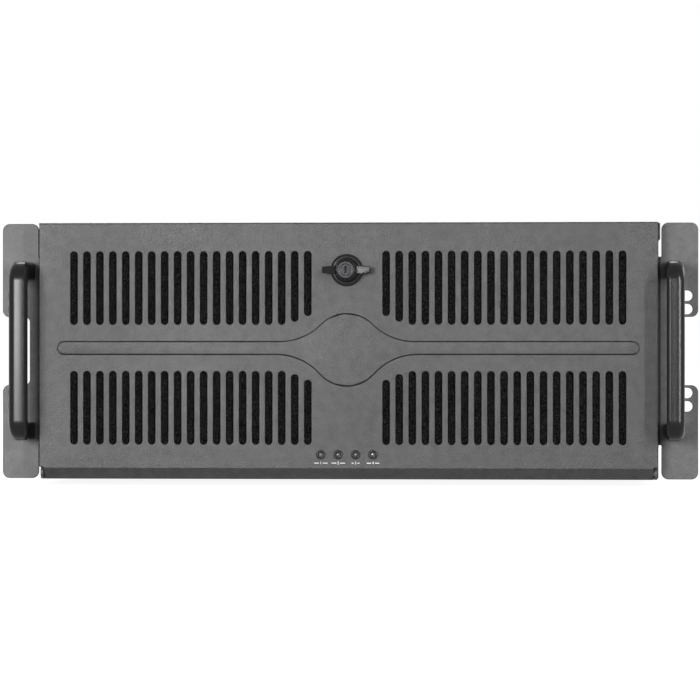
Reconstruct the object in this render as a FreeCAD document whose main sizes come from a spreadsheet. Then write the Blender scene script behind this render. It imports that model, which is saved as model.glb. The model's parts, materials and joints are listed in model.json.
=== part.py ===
import FreeCAD, Part
import Sketcher
import math
import os
import re

# Rack case, four units high: a folded steel tray with a sliding cover, two rack ears with
# pull handles, and a slotted front door that drops down on two pins at its bottom corners
# and is held shut by a wing knob lock.
#
# Frame: +X to the right seen from the front, +Y to the rear, +Z up, millimetres.
# The origin is at the middle of the whole case, on the surface that it stands on.

SIZES = {
    # steel tray, cover and panels
    "case_width": 428.0,
    "case_height": 177.0,
    "case_depth": 450.0,
    "sheet": 1.2,
    "cover_sheet": 1.0,
    "cover_gap": 0.2,
    "cover_lip": 11.6,
    "lip_round": 2.9,
    "top_flange": 14.0,
    "panel_flange": 12.0,
    "bend": 1.5,
    # rack ears
    "rack_width": 482.6,
    "ear_sheet": 2.0,
    "ear_depth": 40.0,
    "ear_flange_height": 130.0,
    "ear_corner": 4.8,
    "notch_height": 47.0,
    "notch_depth": 18.8,
    "notch_corner": 3.5,
    "rack_hole_spacing": 465.1,
    "rack_hole_outer": 38.1,
    "rack_hole_inner": 28.9,
    "rack_slot_width": 7.2,
    "rack_slot_length": 9.6,
    # pull handles
    "handle_height": 123.0,
    "handle_reach": 44.0,
    "handle_width": 12.2,
    "handle_leg": 12.0,
    "handle_grip": 11.0,
    "handle_inset": 10.6,
    "handle_bend": 14.0,
    "handle_palm": 6.0,
    "handle_round": 4.6,
    "handle_edge": 1.8,
    # front door
    "door_width": 426.5,
    "door_depth": 17.0,
    "door_flange": 12.0,
    "bevel": 7.6,
    "door_bend": 1.2,
    "relief_height": 8.4,
    "flange_gap": 0.6,
    "slot_width": 5.0,
    "slot_pitch": 9.0,
    "slot_first": 27.0,
    "slot_near": 16.0,
    "slot_far": 66.6,
    "slot_trim_first": 6.1,
    "slot_trim_second": 2.2,
    "emboss_height": 90.6,
    "emboss_reach": 200.5,
    "emboss_half": 4.5,
    "emboss_rise": 0.9,
    "emboss_bevel": 0.63,
    "bulge_radius": 25.0,
    "bulge_drop": 1.3,
    "bulge_blend": 40.0,
    # hinge
    "pin_height": 4.6,
    "pin_behind": 8.0,
    "pin_radius": 1.5,
    "pin_play": 0.09,
    "pin_reach": 2.0,
    "bracket": 2.0,
    "bracket_length": 30.0,
    "bracket_gap": 0.3,
    "hinge_gap": 0.4,
    "hinge_tab": 4.2,
    "tab_rise": 4.0,
    # foam filters and what holds them
    "filter_depth": 6.0,
    "filter_sheet": 1.0,
    "filter_inner": 21.0,
    "filter_outer": 196.0,
    "filter_low": 19.0,
    "filter_high": 163.0,
    "filter_bar": 7.0,
    "soft_gap": 0.25,
    # lock
    "lock_height": 144.1,
    "lock_flange": 11.1,
    "lock_flange_rise": 2.6,
    "flange_bevel": 1.6,
    "lock_barrel": 9.5,
    "lock_length": 15.5,
    "lock_wall": 3.5,
    "knob_stem": 7.2,
    "knob_base": 8.7,
    "knob_face": 6.9,
    "knob_rise": 15.4,
    "knob_gap": 0.5,
    "knob_bevel": 0.6,
    "wing_reach": 16.6,
    "wing_root": 5.8,
    "wing_tip": 4.2,
    "wing_top": 13.4,
    "wing_slope": 4.6,
    "wing_join": 0.4,
    "wing_gap": 0.3,
    "wing_ease": 0.01,
    "spindle": 4.0,
    "fit_play": 0.09,
    "cylinder_radius": 5.8,
    "plug_radius": 3.8,
    "key_width": 1.3,
    "key_height": 5.2,
    "key_depth": 7.7,
    "core_inset": 0.5,
    "plug_inset": 0.4,
    "cam_behind": 20.0,
    "cam_sheet": 2.0,
    "cam_length": 24.0,
    "cam_half": 6.5,
    "cam_tip": 4.5,
    "lock_room": 3.0,
    "nut_radius": 13.0,
    "nut_depth": 3.0,
    # lamps in the door
    "lamp_height": 17.2,
    "lamp_pitch": 12.0,
    "lamp_radius": 1.5,
    "lamp_rise": 0.9,
    "lamp_tail": 3.0,
    "lamp_gap": 0.6,
    "bezel_radius": 3.25,
    "bezel_rise": 1.1,
    "lamp_board": 1.6,
    "lamp_board_half": 5.0,
    "lamp_board_gap": 1.0,
    # front panel
    "fan_across": -120.0,
    "fan_height": 86.0,
    "fan_size": 119.6,
    "fan_depth": 25.0,
    "fan_throat": 57.0,
    "fan_hub": 19.0,
    "spoke_half": 3.2,
    "spoke_depth": 3.1,
    "rotor_front": 3.0,
    "rotor_gap": 1.0,
    "blade_half": 11.0,
    "blade_thick": 1.8,
    "blade_front": 4.2,
    "blade_back": 18.0,
    "blade_root": 2.0,
    "blade_gap": 2.8,
    "grille_slot": 5.0,
    "grille_pitch": 9.0,
    "grille_inset": 2.0,
    "bay_across": 124.0,
    "bay_width": 149.4,
    "bay_pitch": 42.6,
    "bay_floor": 24.0,
    "bay_depth": 165.0,
    "bay_wall": 2.0,
    "bay_rise": 1.0,
    "grip_half": 12.0,
    "grip_height": 3.0,
    "cage_sheet": 1.0,
    "cage_foot": 9.0,
    "cage_gap": 0.2,
    "cage_slot_half": 12.0,
    "cage_slot_rise": 6.0,
    "button_across": -18.0,
    "power_height": 68.0,
    "reset_height": 46.0,
    "power_radius": 5.9,
    "reset_radius": 3.2,
    "button_gap": 0.3,
    "button_rise": 2.0,
    "button_travel": 2.0,
    "housing_wall": 6.1,
    "housing_depth": 14.0,
    "housing_back": 2.0,
    "port_height": 98.0,
    "port_apart": 18.0,
    "port_half": 6.2,
    "port_low": 2.4,
    "port_high": 0.6,
    "port_gap": 0.6,
    "port_wall": 3.6,
    # rear panel
    "io_across": 32.0,
    "io_width": 158.75,
    "io_height": 44.45,
    "io_floor": 6.6,
    "card_first": -66.0,
    "card_pitch": 20.32,
    "card_slot": 12.6,
    "card_floor": 14.0,
    "card_top": 118.0,
    "plate_width": 18.4,
    "plate_sheet": 1.0,
    "plate_past": 3.0,
    "plate_tongue": 5.0,
    "rail_foot": 10.0,
    "supply_across": 161.0,
    "supply_width": 80.0,
    "supply_height": 140.0,
    "supply_floor": 14.0,
    "rear_fan_across": 33.0,
    "rear_fan_apart": 82.0,
    "rear_fan_height": 112.0,
    "rear_fan_throat": 37.0,
    "rear_fan_holes": 71.5,
    # inside
    "board_inset": 3.4,
    "board_behind": 15.0,
    "post_height": 6.5,
    "post_radius": 3.2,
    "disk_cage_width": 105.0,
    "disk_cage_height": 118.0,
    "disk_cage_depth": 150.0,
    "disk_cage_gap": 6.0,
    "disk_slot_inset": 20.0,
    "disk_slot_first": 8.0,
    "disk_slot_pitch": 28.0,
    "disk_slot_rise": 6.0,
    "bar_behind": 240.0,
    "bar_width": 22.0,
    "bar_height": 12.0,
    "pad_half": 7.0,
    "pad_drop": 14.0,
    # fasteners
    "screw_radius": 2.0,
    "screw_head": 8.0,
    "screw_thread": 3.0,
    "thumb_across": 171.2,
    "head_radius": 4.0,
}

# Places that several pieces share, as expressions of the sheet.
FRONT = "((handle_reach - case_depth - screw_head) / 2)"      # plane of the ears and the front panel
REAR = f"({FRONT} + case_depth)"                              # outside of the rear panel
FACE = f"({FRONT} - door_depth)"                              # front of the door
OUTSIDE = "(case_width / 2)"                                  # outside of the tray's side
INSIDE = "(case_width / 2 - sheet)"                           # inside of the tray's side
TRAY_TOP = "(case_height - cover_sheet - cover_gap)"          # top of the tray's side
PANEL_TOP = f"({TRAY_TOP} - sheet)"                           # top of the front and rear panels
MIDDLE = "(case_height / 2)"                                  # mid height of the case and its ears
PIN_Y = f"({FACE} + pin_behind)"                              # hinge pin behind the door's face
BAND = f"({INSIDE} - bracket - hinge_gap)"                    # end of the door's bevelled band
THUMB = "(case_height - cover_lip / 2)"                       # height of the cover's thumb screws

SLOTS_LEVEL = 17        # slots of full length in one group of the door
SLOT_END_SIDES = 4      # straight sides that draw a door slot's round end
ROUND_SIDES = 16        # straight sides that draw a lamp, its bezel or a thumb screw
BLADES = 7              # blades of the fan
PAN_COLUMNS = 3         # windows in the back of a filter's pan, across
PAN_ROWS = 2            # and one above the other
CARD_SLOTS = 7          # expansion slots at the rear
BAYS = 3                # large drive bays at the front
DISKS = 4               # small drives in their cage
BOARD_COLUMNS = (0, 157.48, 281.94)     # the board's screw holes from its right edge, set by its standard
BOARD_ROWS = (0, 154.94, 227.33)        # and from its rear edge

doc = FreeCAD.newDocument("rack_case")
sheet = doc.addObject("Spreadsheet::Sheet", "Sizes")
for row, (alias, size) in enumerate(SIZES.items(), 1):
    sheet.set(f"A{row}", alias)
    sheet.set(f"B{row}", str(size))
    sheet.setAlias(f"B{row}", alias)
doc.recompute()

parts = {}              # node name: the document object that is written to parts/NODE.step


# ---------------------------------------------------------------- helpers

def full(text):
    """Give an expression its sheet name in front of each size."""
    return re.sub(r"[a-z][a-z_]+", lambda word: f"Sizes.{word[0]}" if word[0] in SIZES else word[0], str(text))


def value(text):
    """The number that an expression of the sheet has now."""
    return float(sheet.evalExpression(full(text)))


def bind(item, prop, text):
    """Tie a property of a document object to an expression of the sheet."""
    item.setExpression(prop, full(text))


def new_body(name, across="0", behind="0", height="0"):
    """A body whose own origin lies at a place in the case."""
    body = doc.addObject("PartDesign::Body", name)
    body.AllowCompound = True
    bind(body, ".Placement.Base.x", across)
    bind(body, ".Placement.Base.y", behind)
    bind(body, ".Placement.Base.z", height)
    parts[name] = body
    return body


def new_sketch(body, role, where="0"):
    """A sketch on one of the body's planes, moved along that plane's axis to a place.

    The XZ plane's own normal is -Y, so a place along Y changes its sign."""
    sketch = body.newObject("Sketcher::SketchObject", f"{body.Name}_sketch")
    plane = next(item for item in body.Origin.OriginFeatures if item.Role == role)
    sketch.AttachmentSupport = [(plane, "")]
    sketch.MapMode = "FlatFace"
    bind(sketch, ".AttachmentOffset.Base.z", f"-({where})" if role == "XZ_Plane" else where)
    return sketch


def hold(sketch, constraint, text):
    """Add a constraint whose value follows an expression of the sheet."""
    index = sketch.addConstraint(constraint)
    sketch.setExpression(f"Constraints[{index}]", full(text))


def outline(sketch, corners):
    """Close a loop through corners (x, y).

    A corner with three more items (centre x, centre y, +1 or -1) starts an arc that runs
    counterclockwise or clockwise about that centre to the next corner."""
    first = sketch.GeometryCount
    places = [(value(corner[0]), value(corner[1])) for corner in corners]
    ends = []
    for index, corner in enumerate(corners):
        here = FreeCAD.Vector(*places[index], 0)
        there = FreeCAD.Vector(*places[(index + 1) % len(corners)], 0)
        if len(corner) == 2:
            sketch.addGeometry(Part.LineSegment(here, there), False)
            ends.append((1, 2))
            continue
        centre = FreeCAD.Vector(value(corner[2]), value(corner[3]), 0)
        start, stop = (here, there) if corner[4] > 0 else (there, here)
        ring = Part.Circle(centre, FreeCAD.Vector(0, 0, 1), (here - centre).Length)
        turn = [math.atan2(end.y - centre.y, end.x - centre.x) for end in (start, stop)]
        sketch.addGeometry(Part.ArcOfCircle(ring, *turn), False)
        ends.append((1, 2) if corner[4] > 0 else (2, 1))
    for index, corner in enumerate(corners):
        after = (index + 1) % len(corners)
        join = Sketcher.Constraint("Coincident", first + index, ends[index][1], first + after, ends[after][0])
        sketch.addConstraint(join)
    for index, corner in enumerate(corners):
        edge, end = first + index, ends[index][0]
        hold(sketch, Sketcher.Constraint("DistanceX", -1, 1, edge, end, places[index][0]), corner[0])
        hold(sketch, Sketcher.Constraint("DistanceY", -1, 1, edge, end, places[index][1]), corner[1])
        if len(corner) > 2:
            after = places[(index + 1) % len(corners)]
            level = abs(after[0] - places[index][0]) > abs(after[1] - places[index][1])
            kind, text = ("DistanceY", corner[3]) if level else ("DistanceX", corner[2])
            hold(sketch, Sketcher.Constraint(kind, -1, 1, edge, 3, value(text)), text)


def rectangle(sketch, left, right, low, high):
    """A rectangle between four expressions."""
    outline(sketch, [(left, low), (right, low), (right, high), (left, high)])


def circle(sketch, across, height, radius):
    """A circle whose centre and radius are expressions."""
    centre = FreeCAD.Vector(value(across), value(height), 0)
    index = sketch.addGeometry(Part.Circle(centre, FreeCAD.Vector(0, 0, 1), value(radius)), False)
    hold(sketch, Sketcher.Constraint("DistanceX", -1, 1, index, 3, centre.x), across)
    hold(sketch, Sketcher.Constraint("DistanceY", -1, 1, index, 3, centre.y), height)
    hold(sketch, Sketcher.Constraint("Radius", index, value(radius)), radius)


def many_sided(sketch, across, height, radius):
    """A small round hole drawn with a few equal sides."""
    corners = []
    for side in range(ROUND_SIDES):
        angle = 2 * math.pi * side / ROUND_SIDES
        corners.append((f"({across}) + ({radius}) * {math.cos(angle):.5f}",
                        f"({height}) + ({radius}) * {math.sin(angle):.5f}"))
    outline(sketch, corners)


def upright_slot(sketch, across, low, high, half):
    """An upright slot between two heights, its round ends drawn with a few equal sides each."""
    corners = []
    for height, start in ((f"({low}) + ({half})", 180), (f"({high}) - ({half})", 0)):
        for side in range(SLOT_END_SIDES + 1):
            angle = math.radians(start + 180 * side / SLOT_END_SIDES)
            corners.append((f"({across}) + ({half}) * {math.cos(angle):.5f}",
                            f"{height} + ({half}) * {math.sin(angle):.5f}"))
    outline(sketch, corners)


def level_slot(sketch, across, height, length, half):
    """A level slot with round ends about a centre."""
    left, right = f"({across}) - ({length}) / 2 + ({half})", f"({across}) + ({length}) / 2 - ({half})"
    low, high = f"({height}) - ({half})", f"({height}) + ({half})"
    outline(sketch, [(left, low), (right, low, right, height, 1), (right, high), (left, high, left, height, 1)])


def pad(body, sketch, length, symmetric=False, reverse=False):
    """Thicken a sketch: along its normal, against it, or half each way."""
    feature = body.newObject("PartDesign::Pad", f"{body.Name}_pad")
    feature.Profile = sketch
    bind(feature, "Length", length)
    feature.SideType = "Symmetric" if symmetric else "One side"
    feature.Reversed = reverse
    sketch.Visibility = False
    doc.recompute()
    return feature


def pocket(body, sketch, length=None, reverse=False):
    """Cut a sketch into the body, right through both ways when no length is given."""
    before = body.Shape.Volume
    feature = body.newObject("PartDesign::Pocket", f"{body.Name}_pocket")
    feature.Profile = sketch
    if length is None:
        feature.Type = "ThroughAll"
        feature.SideType = "Symmetric"
    else:
        bind(feature, "Length", length)
        feature.Reversed = reverse
    sketch.Visibility = False
    doc.recompute()
    if body.Shape.Volume >= before:
        raise ValueError(f"{feature.Name} cuts nothing")
    return feature


def turn(body, corners):
    """Revolve a profile of (along Y, radius) corners about the body's own Y axis."""
    sketch = new_sketch(body, "YZ_Plane")
    outline(sketch, corners)
    feature = body.newObject("PartDesign::Revolution", f"{body.Name}_turn")
    feature.Profile = sketch
    feature.ReferenceAxis = (sketch, ["H_Axis"])
    feature.Angle = 360
    doc.recompute()
    return feature


def repeat(body, feature, role, spacing, count, reverse=False):
    """Repeat a feature along one of the body's axes."""
    row = body.newObject("PartDesign::LinearPattern", f"{body.Name}_row")
    row.Originals = [feature]
    axis = next(item for item in body.Origin.OriginFeatures if item.Role == role)
    row.Direction = (axis, [""])
    row.Mode = "Spacing"
    row.Reversed = reverse
    bind(row, "Offset", spacing)
    row.Occurrences = count
    body.Tip = row
    doc.recompute()
    return row


def dress(body, kind, prop, size, wanted):
    """Round or chamfer the edges of the body for which wanted(edge) is true."""
    base = body.Tip
    names = [f"Edge{index}" for index, edge in enumerate(base.Shape.Edges, 1) if wanted(edge)]
    if not names:
        raise ValueError(f"{body.Name} has no such edge")
    feature = body.newObject(f"PartDesign::{kind}", f"{body.Name}_{kind.lower()}")
    feature.Base = (base, names)
    bind(feature, prop, size)
    doc.recompute()
    return feature


def straight(edge, axis):
    """True for a straight edge that runs along one axis of the body."""
    if edge.Curve.TypeId != "Part::GeomLine":
        return False
    run = edge.Vertexes[-1].Point - edge.Vertexes[0].Point
    return abs(run.normalize().dot(axis)) > 0.999


def block(name, left, right, near, far, low, high):
    """A plain block between six expressions."""
    item = doc.addObject("Part::Box", name)
    bind(item, "Length", f"({right}) - ({left})")
    bind(item, "Width", f"({far}) - ({near})")
    bind(item, "Height", f"({high}) - ({low})")
    bind(item, ".Placement.Base.x", left)
    bind(item, ".Placement.Base.y", near)
    bind(item, ".Placement.Base.z", low)
    return item


def rod(name, axis, start, radius, length, sides=0):
    """A cylinder, or a bar of equal sides, that starts at a place and runs along +X or +Y."""
    item = doc.addObject("Part::Prism" if sides else "Part::Cylinder", name)
    spin = FreeCAD.Rotation(Y_AXIS, 90) if axis == "X" else FreeCAD.Rotation(X_AXIS, -90)
    item.Placement = FreeCAD.Placement(FreeCAD.Vector(0, 0, 0), spin)
    if sides:
        item.Polygon = sides
    bind(item, "Circumradius" if sides else "Radius", radius)
    bind(item, "Height", length)
    for letter, text in zip("xyz", start):
        bind(item, f".Placement.Base.{letter}", text)
    return item


def fuse(name, items):
    """Join overlapping items into one solid."""
    whole = doc.addObject("Part::MultiFuse", name)
    whole.Shapes = items
    whole.Refine = True
    return whole


def cut(name, base, tools):
    """Take tools that don't meet each other away from a base."""
    tool = tools[0]
    if len(tools) > 1:
        tool = doc.addObject("Part::Compound", f"{name}_tools")
        tool.Links = tools
    left = doc.addObject("Part::Cut", name)
    left.Base = base
    left.Tool = tool
    left.Refine = True
    return left


def group(name, items):
    """Keep separate solids together in one node."""
    whole = doc.addObject("Part::Compound", name)
    whole.Links = items
    parts[name] = whole
    return whole


def mirror(name, source):
    """The left-hand twin of a right-hand piece."""
    twin = doc.addObject("Part::Mirroring", name)
    twin.Source = source
    twin.Base = FreeCAD.Vector(0, 0, 0)
    twin.Normal = FreeCAD.Vector(1, 0, 0)
    parts[name] = twin
    return twin


X_AXIS = FreeCAD.Vector(1, 0, 0)
Y_AXIS = FreeCAD.Vector(0, 1, 0)
Z_AXIS = FreeCAD.Vector(0, 0, 1)


# ---------------------------------------------------------------- tray and cover

def make_tray():
    """Floor and sides folded from one sheet, with a flange turned in along each top edge."""
    body = new_body("chassis_tray")
    section = new_sketch(body, "XZ_Plane", REAR)
    outline(section, [
        (f"-{OUTSIDE}", "0"), (OUTSIDE, "0"), (OUTSIDE, TRAY_TOP),
        (f"{OUTSIDE} - top_flange", TRAY_TOP), (f"{OUTSIDE} - top_flange", PANEL_TOP), (INSIDE, PANEL_TOP),
        (INSIDE, "sheet"), (f"-{INSIDE}", "sheet"), (f"-{INSIDE}", PANEL_TOP),
        (f"top_flange - {OUTSIDE}", PANEL_TOP), (f"top_flange - {OUTSIDE}", TRAY_TOP), (f"-{OUTSIDE}", TRAY_TOP)])
    pad(body, section, "case_depth")
    side = value(OUTSIDE)
    dress(body, "Fillet", "Radius", "bend",
          lambda edge: straight(edge, Y_AXIS) and abs(abs(edge.Vertexes[0].X) - side) < 0.01)


def make_cover():
    """Flat lid with a lip down each side and a flange down the back."""
    body = new_body("top_cover")
    lip = f"({OUTSIDE} + cover_gap + cover_sheet)"
    under = "(case_height - cover_sheet)"
    section = new_sketch(body, "XZ_Plane", f"{REAR} + cover_gap + cover_sheet")
    outline(section, [
        (f"-{lip}", "case_height - cover_lip"), (f"cover_sheet - {lip}", "case_height - cover_lip"),
        (f"cover_sheet - {lip}", under), (f"{lip} - cover_sheet", under),
        (f"{lip} - cover_sheet", "case_height - cover_lip"), (lip, "case_height - cover_lip"),
        (lip, "case_height"), (f"-{lip}", "case_height")])
    pad(body, section, "case_depth + cover_gap + cover_sheet")
    back = new_sketch(body, "XZ_Plane", f"{REAR} + cover_gap + cover_sheet")
    rectangle(back, f"cover_sheet - {lip}", f"{lip} - cover_sheet", "case_height - cover_lip", under)
    pad(body, back, "cover_sheet")
    edge_x = value(lip)
    dress(body, "Fillet", "Radius", "cover_sheet",
          lambda edge: straight(edge, Y_AXIS) and abs(abs(edge.Vertexes[0].X) - edge_x) < 0.01
          and edge.Vertexes[0].Z > value(under))
    dress(body, "Fillet", "Radius", "lip_round",
          lambda edge: straight(edge, X_AXIS) and edge.Vertexes[0].Y < value(FRONT) + 0.01
          and edge.Vertexes[0].Z < value("case_height - cover_lip") + 0.01)
    holes = new_sketch(body, "XZ_Plane", f"{REAR} + cover_gap")
    for place in (-1, 0, 1):
        many_sided(holes, f"{place} * thumb_across", THUMB, "screw_radius")
    pocket(body, holes)


def make_thumb_screws():
    """Captive thumb screws that hold the cover's back flange to the rear panel."""
    screws = []
    for place in (-1, 0, 1):
        across = f"{place} * thumb_across"
        flange = f"{REAR} + cover_gap + cover_sheet"
        stem = rod(f"thumb_stem_{place + 2}", "Y", (across, f"{REAR} - sheet - screw_thread", THUMB),
                   "screw_radius", "2 * sheet + screw_thread + cover_gap + cover_sheet", ROUND_SIDES)
        head = rod(f"thumb_head_{place + 2}", "Y", (across, flange, THUMB),
                   "head_radius", "screw_head - cover_gap - cover_sheet", ROUND_SIDES)
        screws.append(fuse(f"thumb_screw_{place + 2}", [stem, head]))
    group("thumb_screws", screws)


# ---------------------------------------------------------------- rear panel

def make_rear_panel():
    """Back wall between the tray's sides: card slots, port opening, fan grilles and supply opening."""
    body = new_body("rear_panel")
    plate = new_sketch(body, "XZ_Plane", REAR)
    rectangle(plate, f"-{INSIDE}", INSIDE, "sheet", PANEL_TOP)
    pad(body, plate, "sheet")
    rim = new_sketch(body, "XZ_Plane", f"{REAR} - sheet")
    rectangle(rim, f"-{INSIDE}", INSIDE, "sheet", PANEL_TOP)
    rectangle(rim, f"sheet - {INSIDE}", f"{INSIDE} - sheet", "2 * sheet", f"{PANEL_TOP} - sheet")
    pad(body, rim, "panel_flange - sheet")
    openings = new_sketch(body, "XZ_Plane", REAR)
    rectangle(openings, "io_across - io_width / 2", "io_across + io_width / 2",
              "io_floor", "io_floor + io_height")
    rectangle(openings, "supply_across - supply_width / 2", "supply_across + supply_width / 2",
              "supply_floor", "supply_floor + supply_height")
    for card in range(CARD_SLOTS):
        middle = f"card_first - {card} * card_pitch"
        rectangle(openings, f"{middle} - card_slot / 2", f"{middle} + card_slot / 2", "card_floor", "card_top")
    pocket(body, openings)
    grille = new_sketch(body, "XZ_Plane", REAR)
    for side in (-1, 1):
        centre = f"rear_fan_across + {side} * rear_fan_apart / 2"
        for step in range(-3, 4):
            reach = f"sqrt(rear_fan_throat ^ 2 - ({step} * grille_pitch) ^ 2)"
            rectangle(grille, f"{centre} + {step} * grille_pitch - grille_slot / 2",
                      f"{centre} + {step} * grille_pitch + grille_slot / 2",
                      f"rear_fan_height - {reach}", f"rear_fan_height + {reach}")
        for across in (-1, 1):
            for up in (-1, 1):
                circle(grille, f"{centre} + {across} * rear_fan_holes / 2",
                       f"rear_fan_height + {up} * rear_fan_holes / 2", "screw_radius")
    pocket(body, grille)
    threads = new_sketch(body, "XZ_Plane", REAR)
    for place in (-1, 0, 1):
        many_sided(threads, f"{place} * thumb_across", THUMB, "screw_radius + button_gap")
    pocket(body, threads, "1.5 * sheet", reverse=True)


def make_card_covers():
    """Blank brackets over the card slots, and the rail that their top tabs rest on."""
    wall = f"({REAR} - sheet)"
    rail_top = "(card_top + plate_past)"
    covers = []
    for card in range(CARD_SLOTS):
        middle = f"(card_first - {card} * card_pitch)"
        left, right = f"{middle} - plate_width / 2", f"{middle} + plate_width / 2"
        plate = block(f"card_plate_{card + 1}", left, right, f"{wall} - plate_sheet", wall,
                      "card_floor - plate_tongue", f"{rail_top} + plate_sheet")
        tab = block(f"card_tab_{card + 1}", left, right, f"{wall} - panel_flange", f"{wall} - plate_sheet / 2",
                    rail_top, f"{rail_top} + plate_sheet")
        covers.append(fuse(f"card_cover_{card + 1}", [plate, tab]))
    group("slot_covers", covers)
    first, last = "(card_first + card_pitch)", f"(card_first - {CARD_SLOTS} * card_pitch)"
    bar = block("slot_rail_bar", last, first, f"{wall} - panel_flange", f"{wall} - 1.5 * plate_sheet",
                f"{rail_top} - sheet", rail_top)
    feet = [block("slot_rail_foot_1", last, f"{last} + sheet", f"{wall} - panel_flange", wall,
                  f"{rail_top} - rail_foot", rail_top),
            block("slot_rail_foot_2", f"{first} - sheet", first, f"{wall} - panel_flange", wall,
                  f"{rail_top} - rail_foot", rail_top)]
    parts["slot_rail"] = fuse("slot_rail", [bar] + feet)


# ---------------------------------------------------------------- front panel and what it carries

def make_front_panel():
    """Fixed wall behind the door: fan grille, drive bay opening, lock opening and controls."""
    body = new_body("front_panel")
    plate = new_sketch(body, "XZ_Plane", f"{FRONT} + sheet")
    rectangle(plate, f"-{INSIDE}", INSIDE, "sheet", PANEL_TOP)
    pad(body, plate, "sheet")
    rim = new_sketch(body, "XZ_Plane", f"{FRONT} + panel_flange")
    rectangle(rim, f"-{INSIDE}", INSIDE, "sheet", PANEL_TOP)
    rectangle(rim, f"sheet - {INSIDE}", f"{INSIDE} - sheet", "2 * sheet", f"{PANEL_TOP} - sheet")
    pad(body, rim, "panel_flange - sheet")
    openings = new_sketch(body, "XZ_Plane", FRONT)
    for side in (-1, 1):
        inner, outer = f"{side} * ({BAND})", f"{side} * ({OUTSIDE})"
        left, right = (outer, inner) if side < 0 else (inner, outer)
        rectangle(openings, left, right, "0", "2 * pin_height + hinge_gap")
    rectangle(openings, "bay_across - bay_width / 2", "bay_across + bay_width / 2",
              "bay_floor", f"bay_floor + {BAYS} * bay_pitch")
    rectangle(openings, "-(cam_length + lock_room)", "lock_flange + lock_room",
              "lock_height - lock_flange - lock_room", "lock_height + lock_flange + lock_room")
    for step in range(-5, 6):
        reach = f"sqrt((fan_throat - grille_inset) ^ 2 - ({step} * grille_pitch) ^ 2)"
        rectangle(openings, f"fan_across + {step} * grille_pitch - grille_slot / 2",
                  f"fan_across + {step} * grille_pitch + grille_slot / 2",
                  f"fan_height - {reach}", f"fan_height + {reach}")
    circle(openings, "button_across", "power_height", "power_radius + button_gap")
    circle(openings, "button_across", "reset_height", "reset_radius + button_gap")
    for side in (-1, 1):
        port = f"button_across + {side} * port_apart / 2"
        rectangle(openings, f"{port} - port_half - port_gap", f"{port} + port_half + port_gap",
                  "port_height - port_low - port_gap", "port_height + port_low + port_gap")
    pocket(body, openings)


def make_fan():
    """Intake fan behind the grille: square frame with a round throat, and a bladed rotor."""
    frame = new_body("fan_frame", "fan_across", f"{FRONT} + sheet", "fan_height")
    square = new_sketch(frame, "XZ_Plane", "fan_depth")
    rectangle(square, "-fan_size / 2", "fan_size / 2", "-fan_size / 2", "fan_size / 2")
    circle(square, "0", "0", "fan_throat")
    pad(frame, square, "fan_depth")
    spokes = new_sketch(frame, "XZ_Plane", "fan_depth")
    reach = "(fan_throat + spoke_half)"
    rectangle(spokes, f"-{reach}", reach, "-spoke_half", "spoke_half")
    pad(frame, spokes, "spoke_depth")
    spokes = new_sketch(frame, "XZ_Plane", "fan_depth")
    rectangle(spokes, "-spoke_half", "spoke_half", f"-{reach}", reach)
    pad(frame, spokes, "spoke_depth")
    hub = new_sketch(frame, "XZ_Plane", "fan_depth")
    circle(hub, "0", "0", "fan_hub")
    pad(frame, hub, "spoke_depth")
    bearing = new_sketch(frame, "XZ_Plane", "fan_depth")
    circle(bearing, "0", "0", "pin_radius + pin_play")
    pocket(frame, bearing)

    rotor = new_body("fan_rotor", "fan_across", f"{FRONT} + sheet", "fan_height")
    hub_end, shaft_end = "fan_depth - spoke_depth - rotor_gap", "fan_depth - rotor_gap / 2"
    turn(rotor, [("rotor_front", "0"), ("rotor_front", "fan_hub"), (hub_end, "fan_hub"),
                 (hub_end, "pin_radius"), (shaft_end, "pin_radius"), (shaft_end, "0")])
    section = new_sketch(rotor, "YZ_Plane", "fan_hub - blade_root")
    outline(section, [("blade_front", "-blade_half"), ("blade_front + blade_thick", "-blade_half"),
                      ("blade_back", "blade_half"), ("blade_back - blade_thick", "blade_half")])
    blade = pad(rotor, section, "fan_throat - blade_gap - fan_hub + blade_root")
    ring = rotor.newObject("PartDesign::PolarPattern", "fan_blades")
    ring.Originals = [blade]
    ring.Axis = (next(item for item in rotor.Origin.OriginFeatures if item.Role == "Y_Axis"), [""])
    ring.Angle = 360
    ring.Occurrences = BLADES
    rotor.Tip = ring
    doc.recompute()


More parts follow.
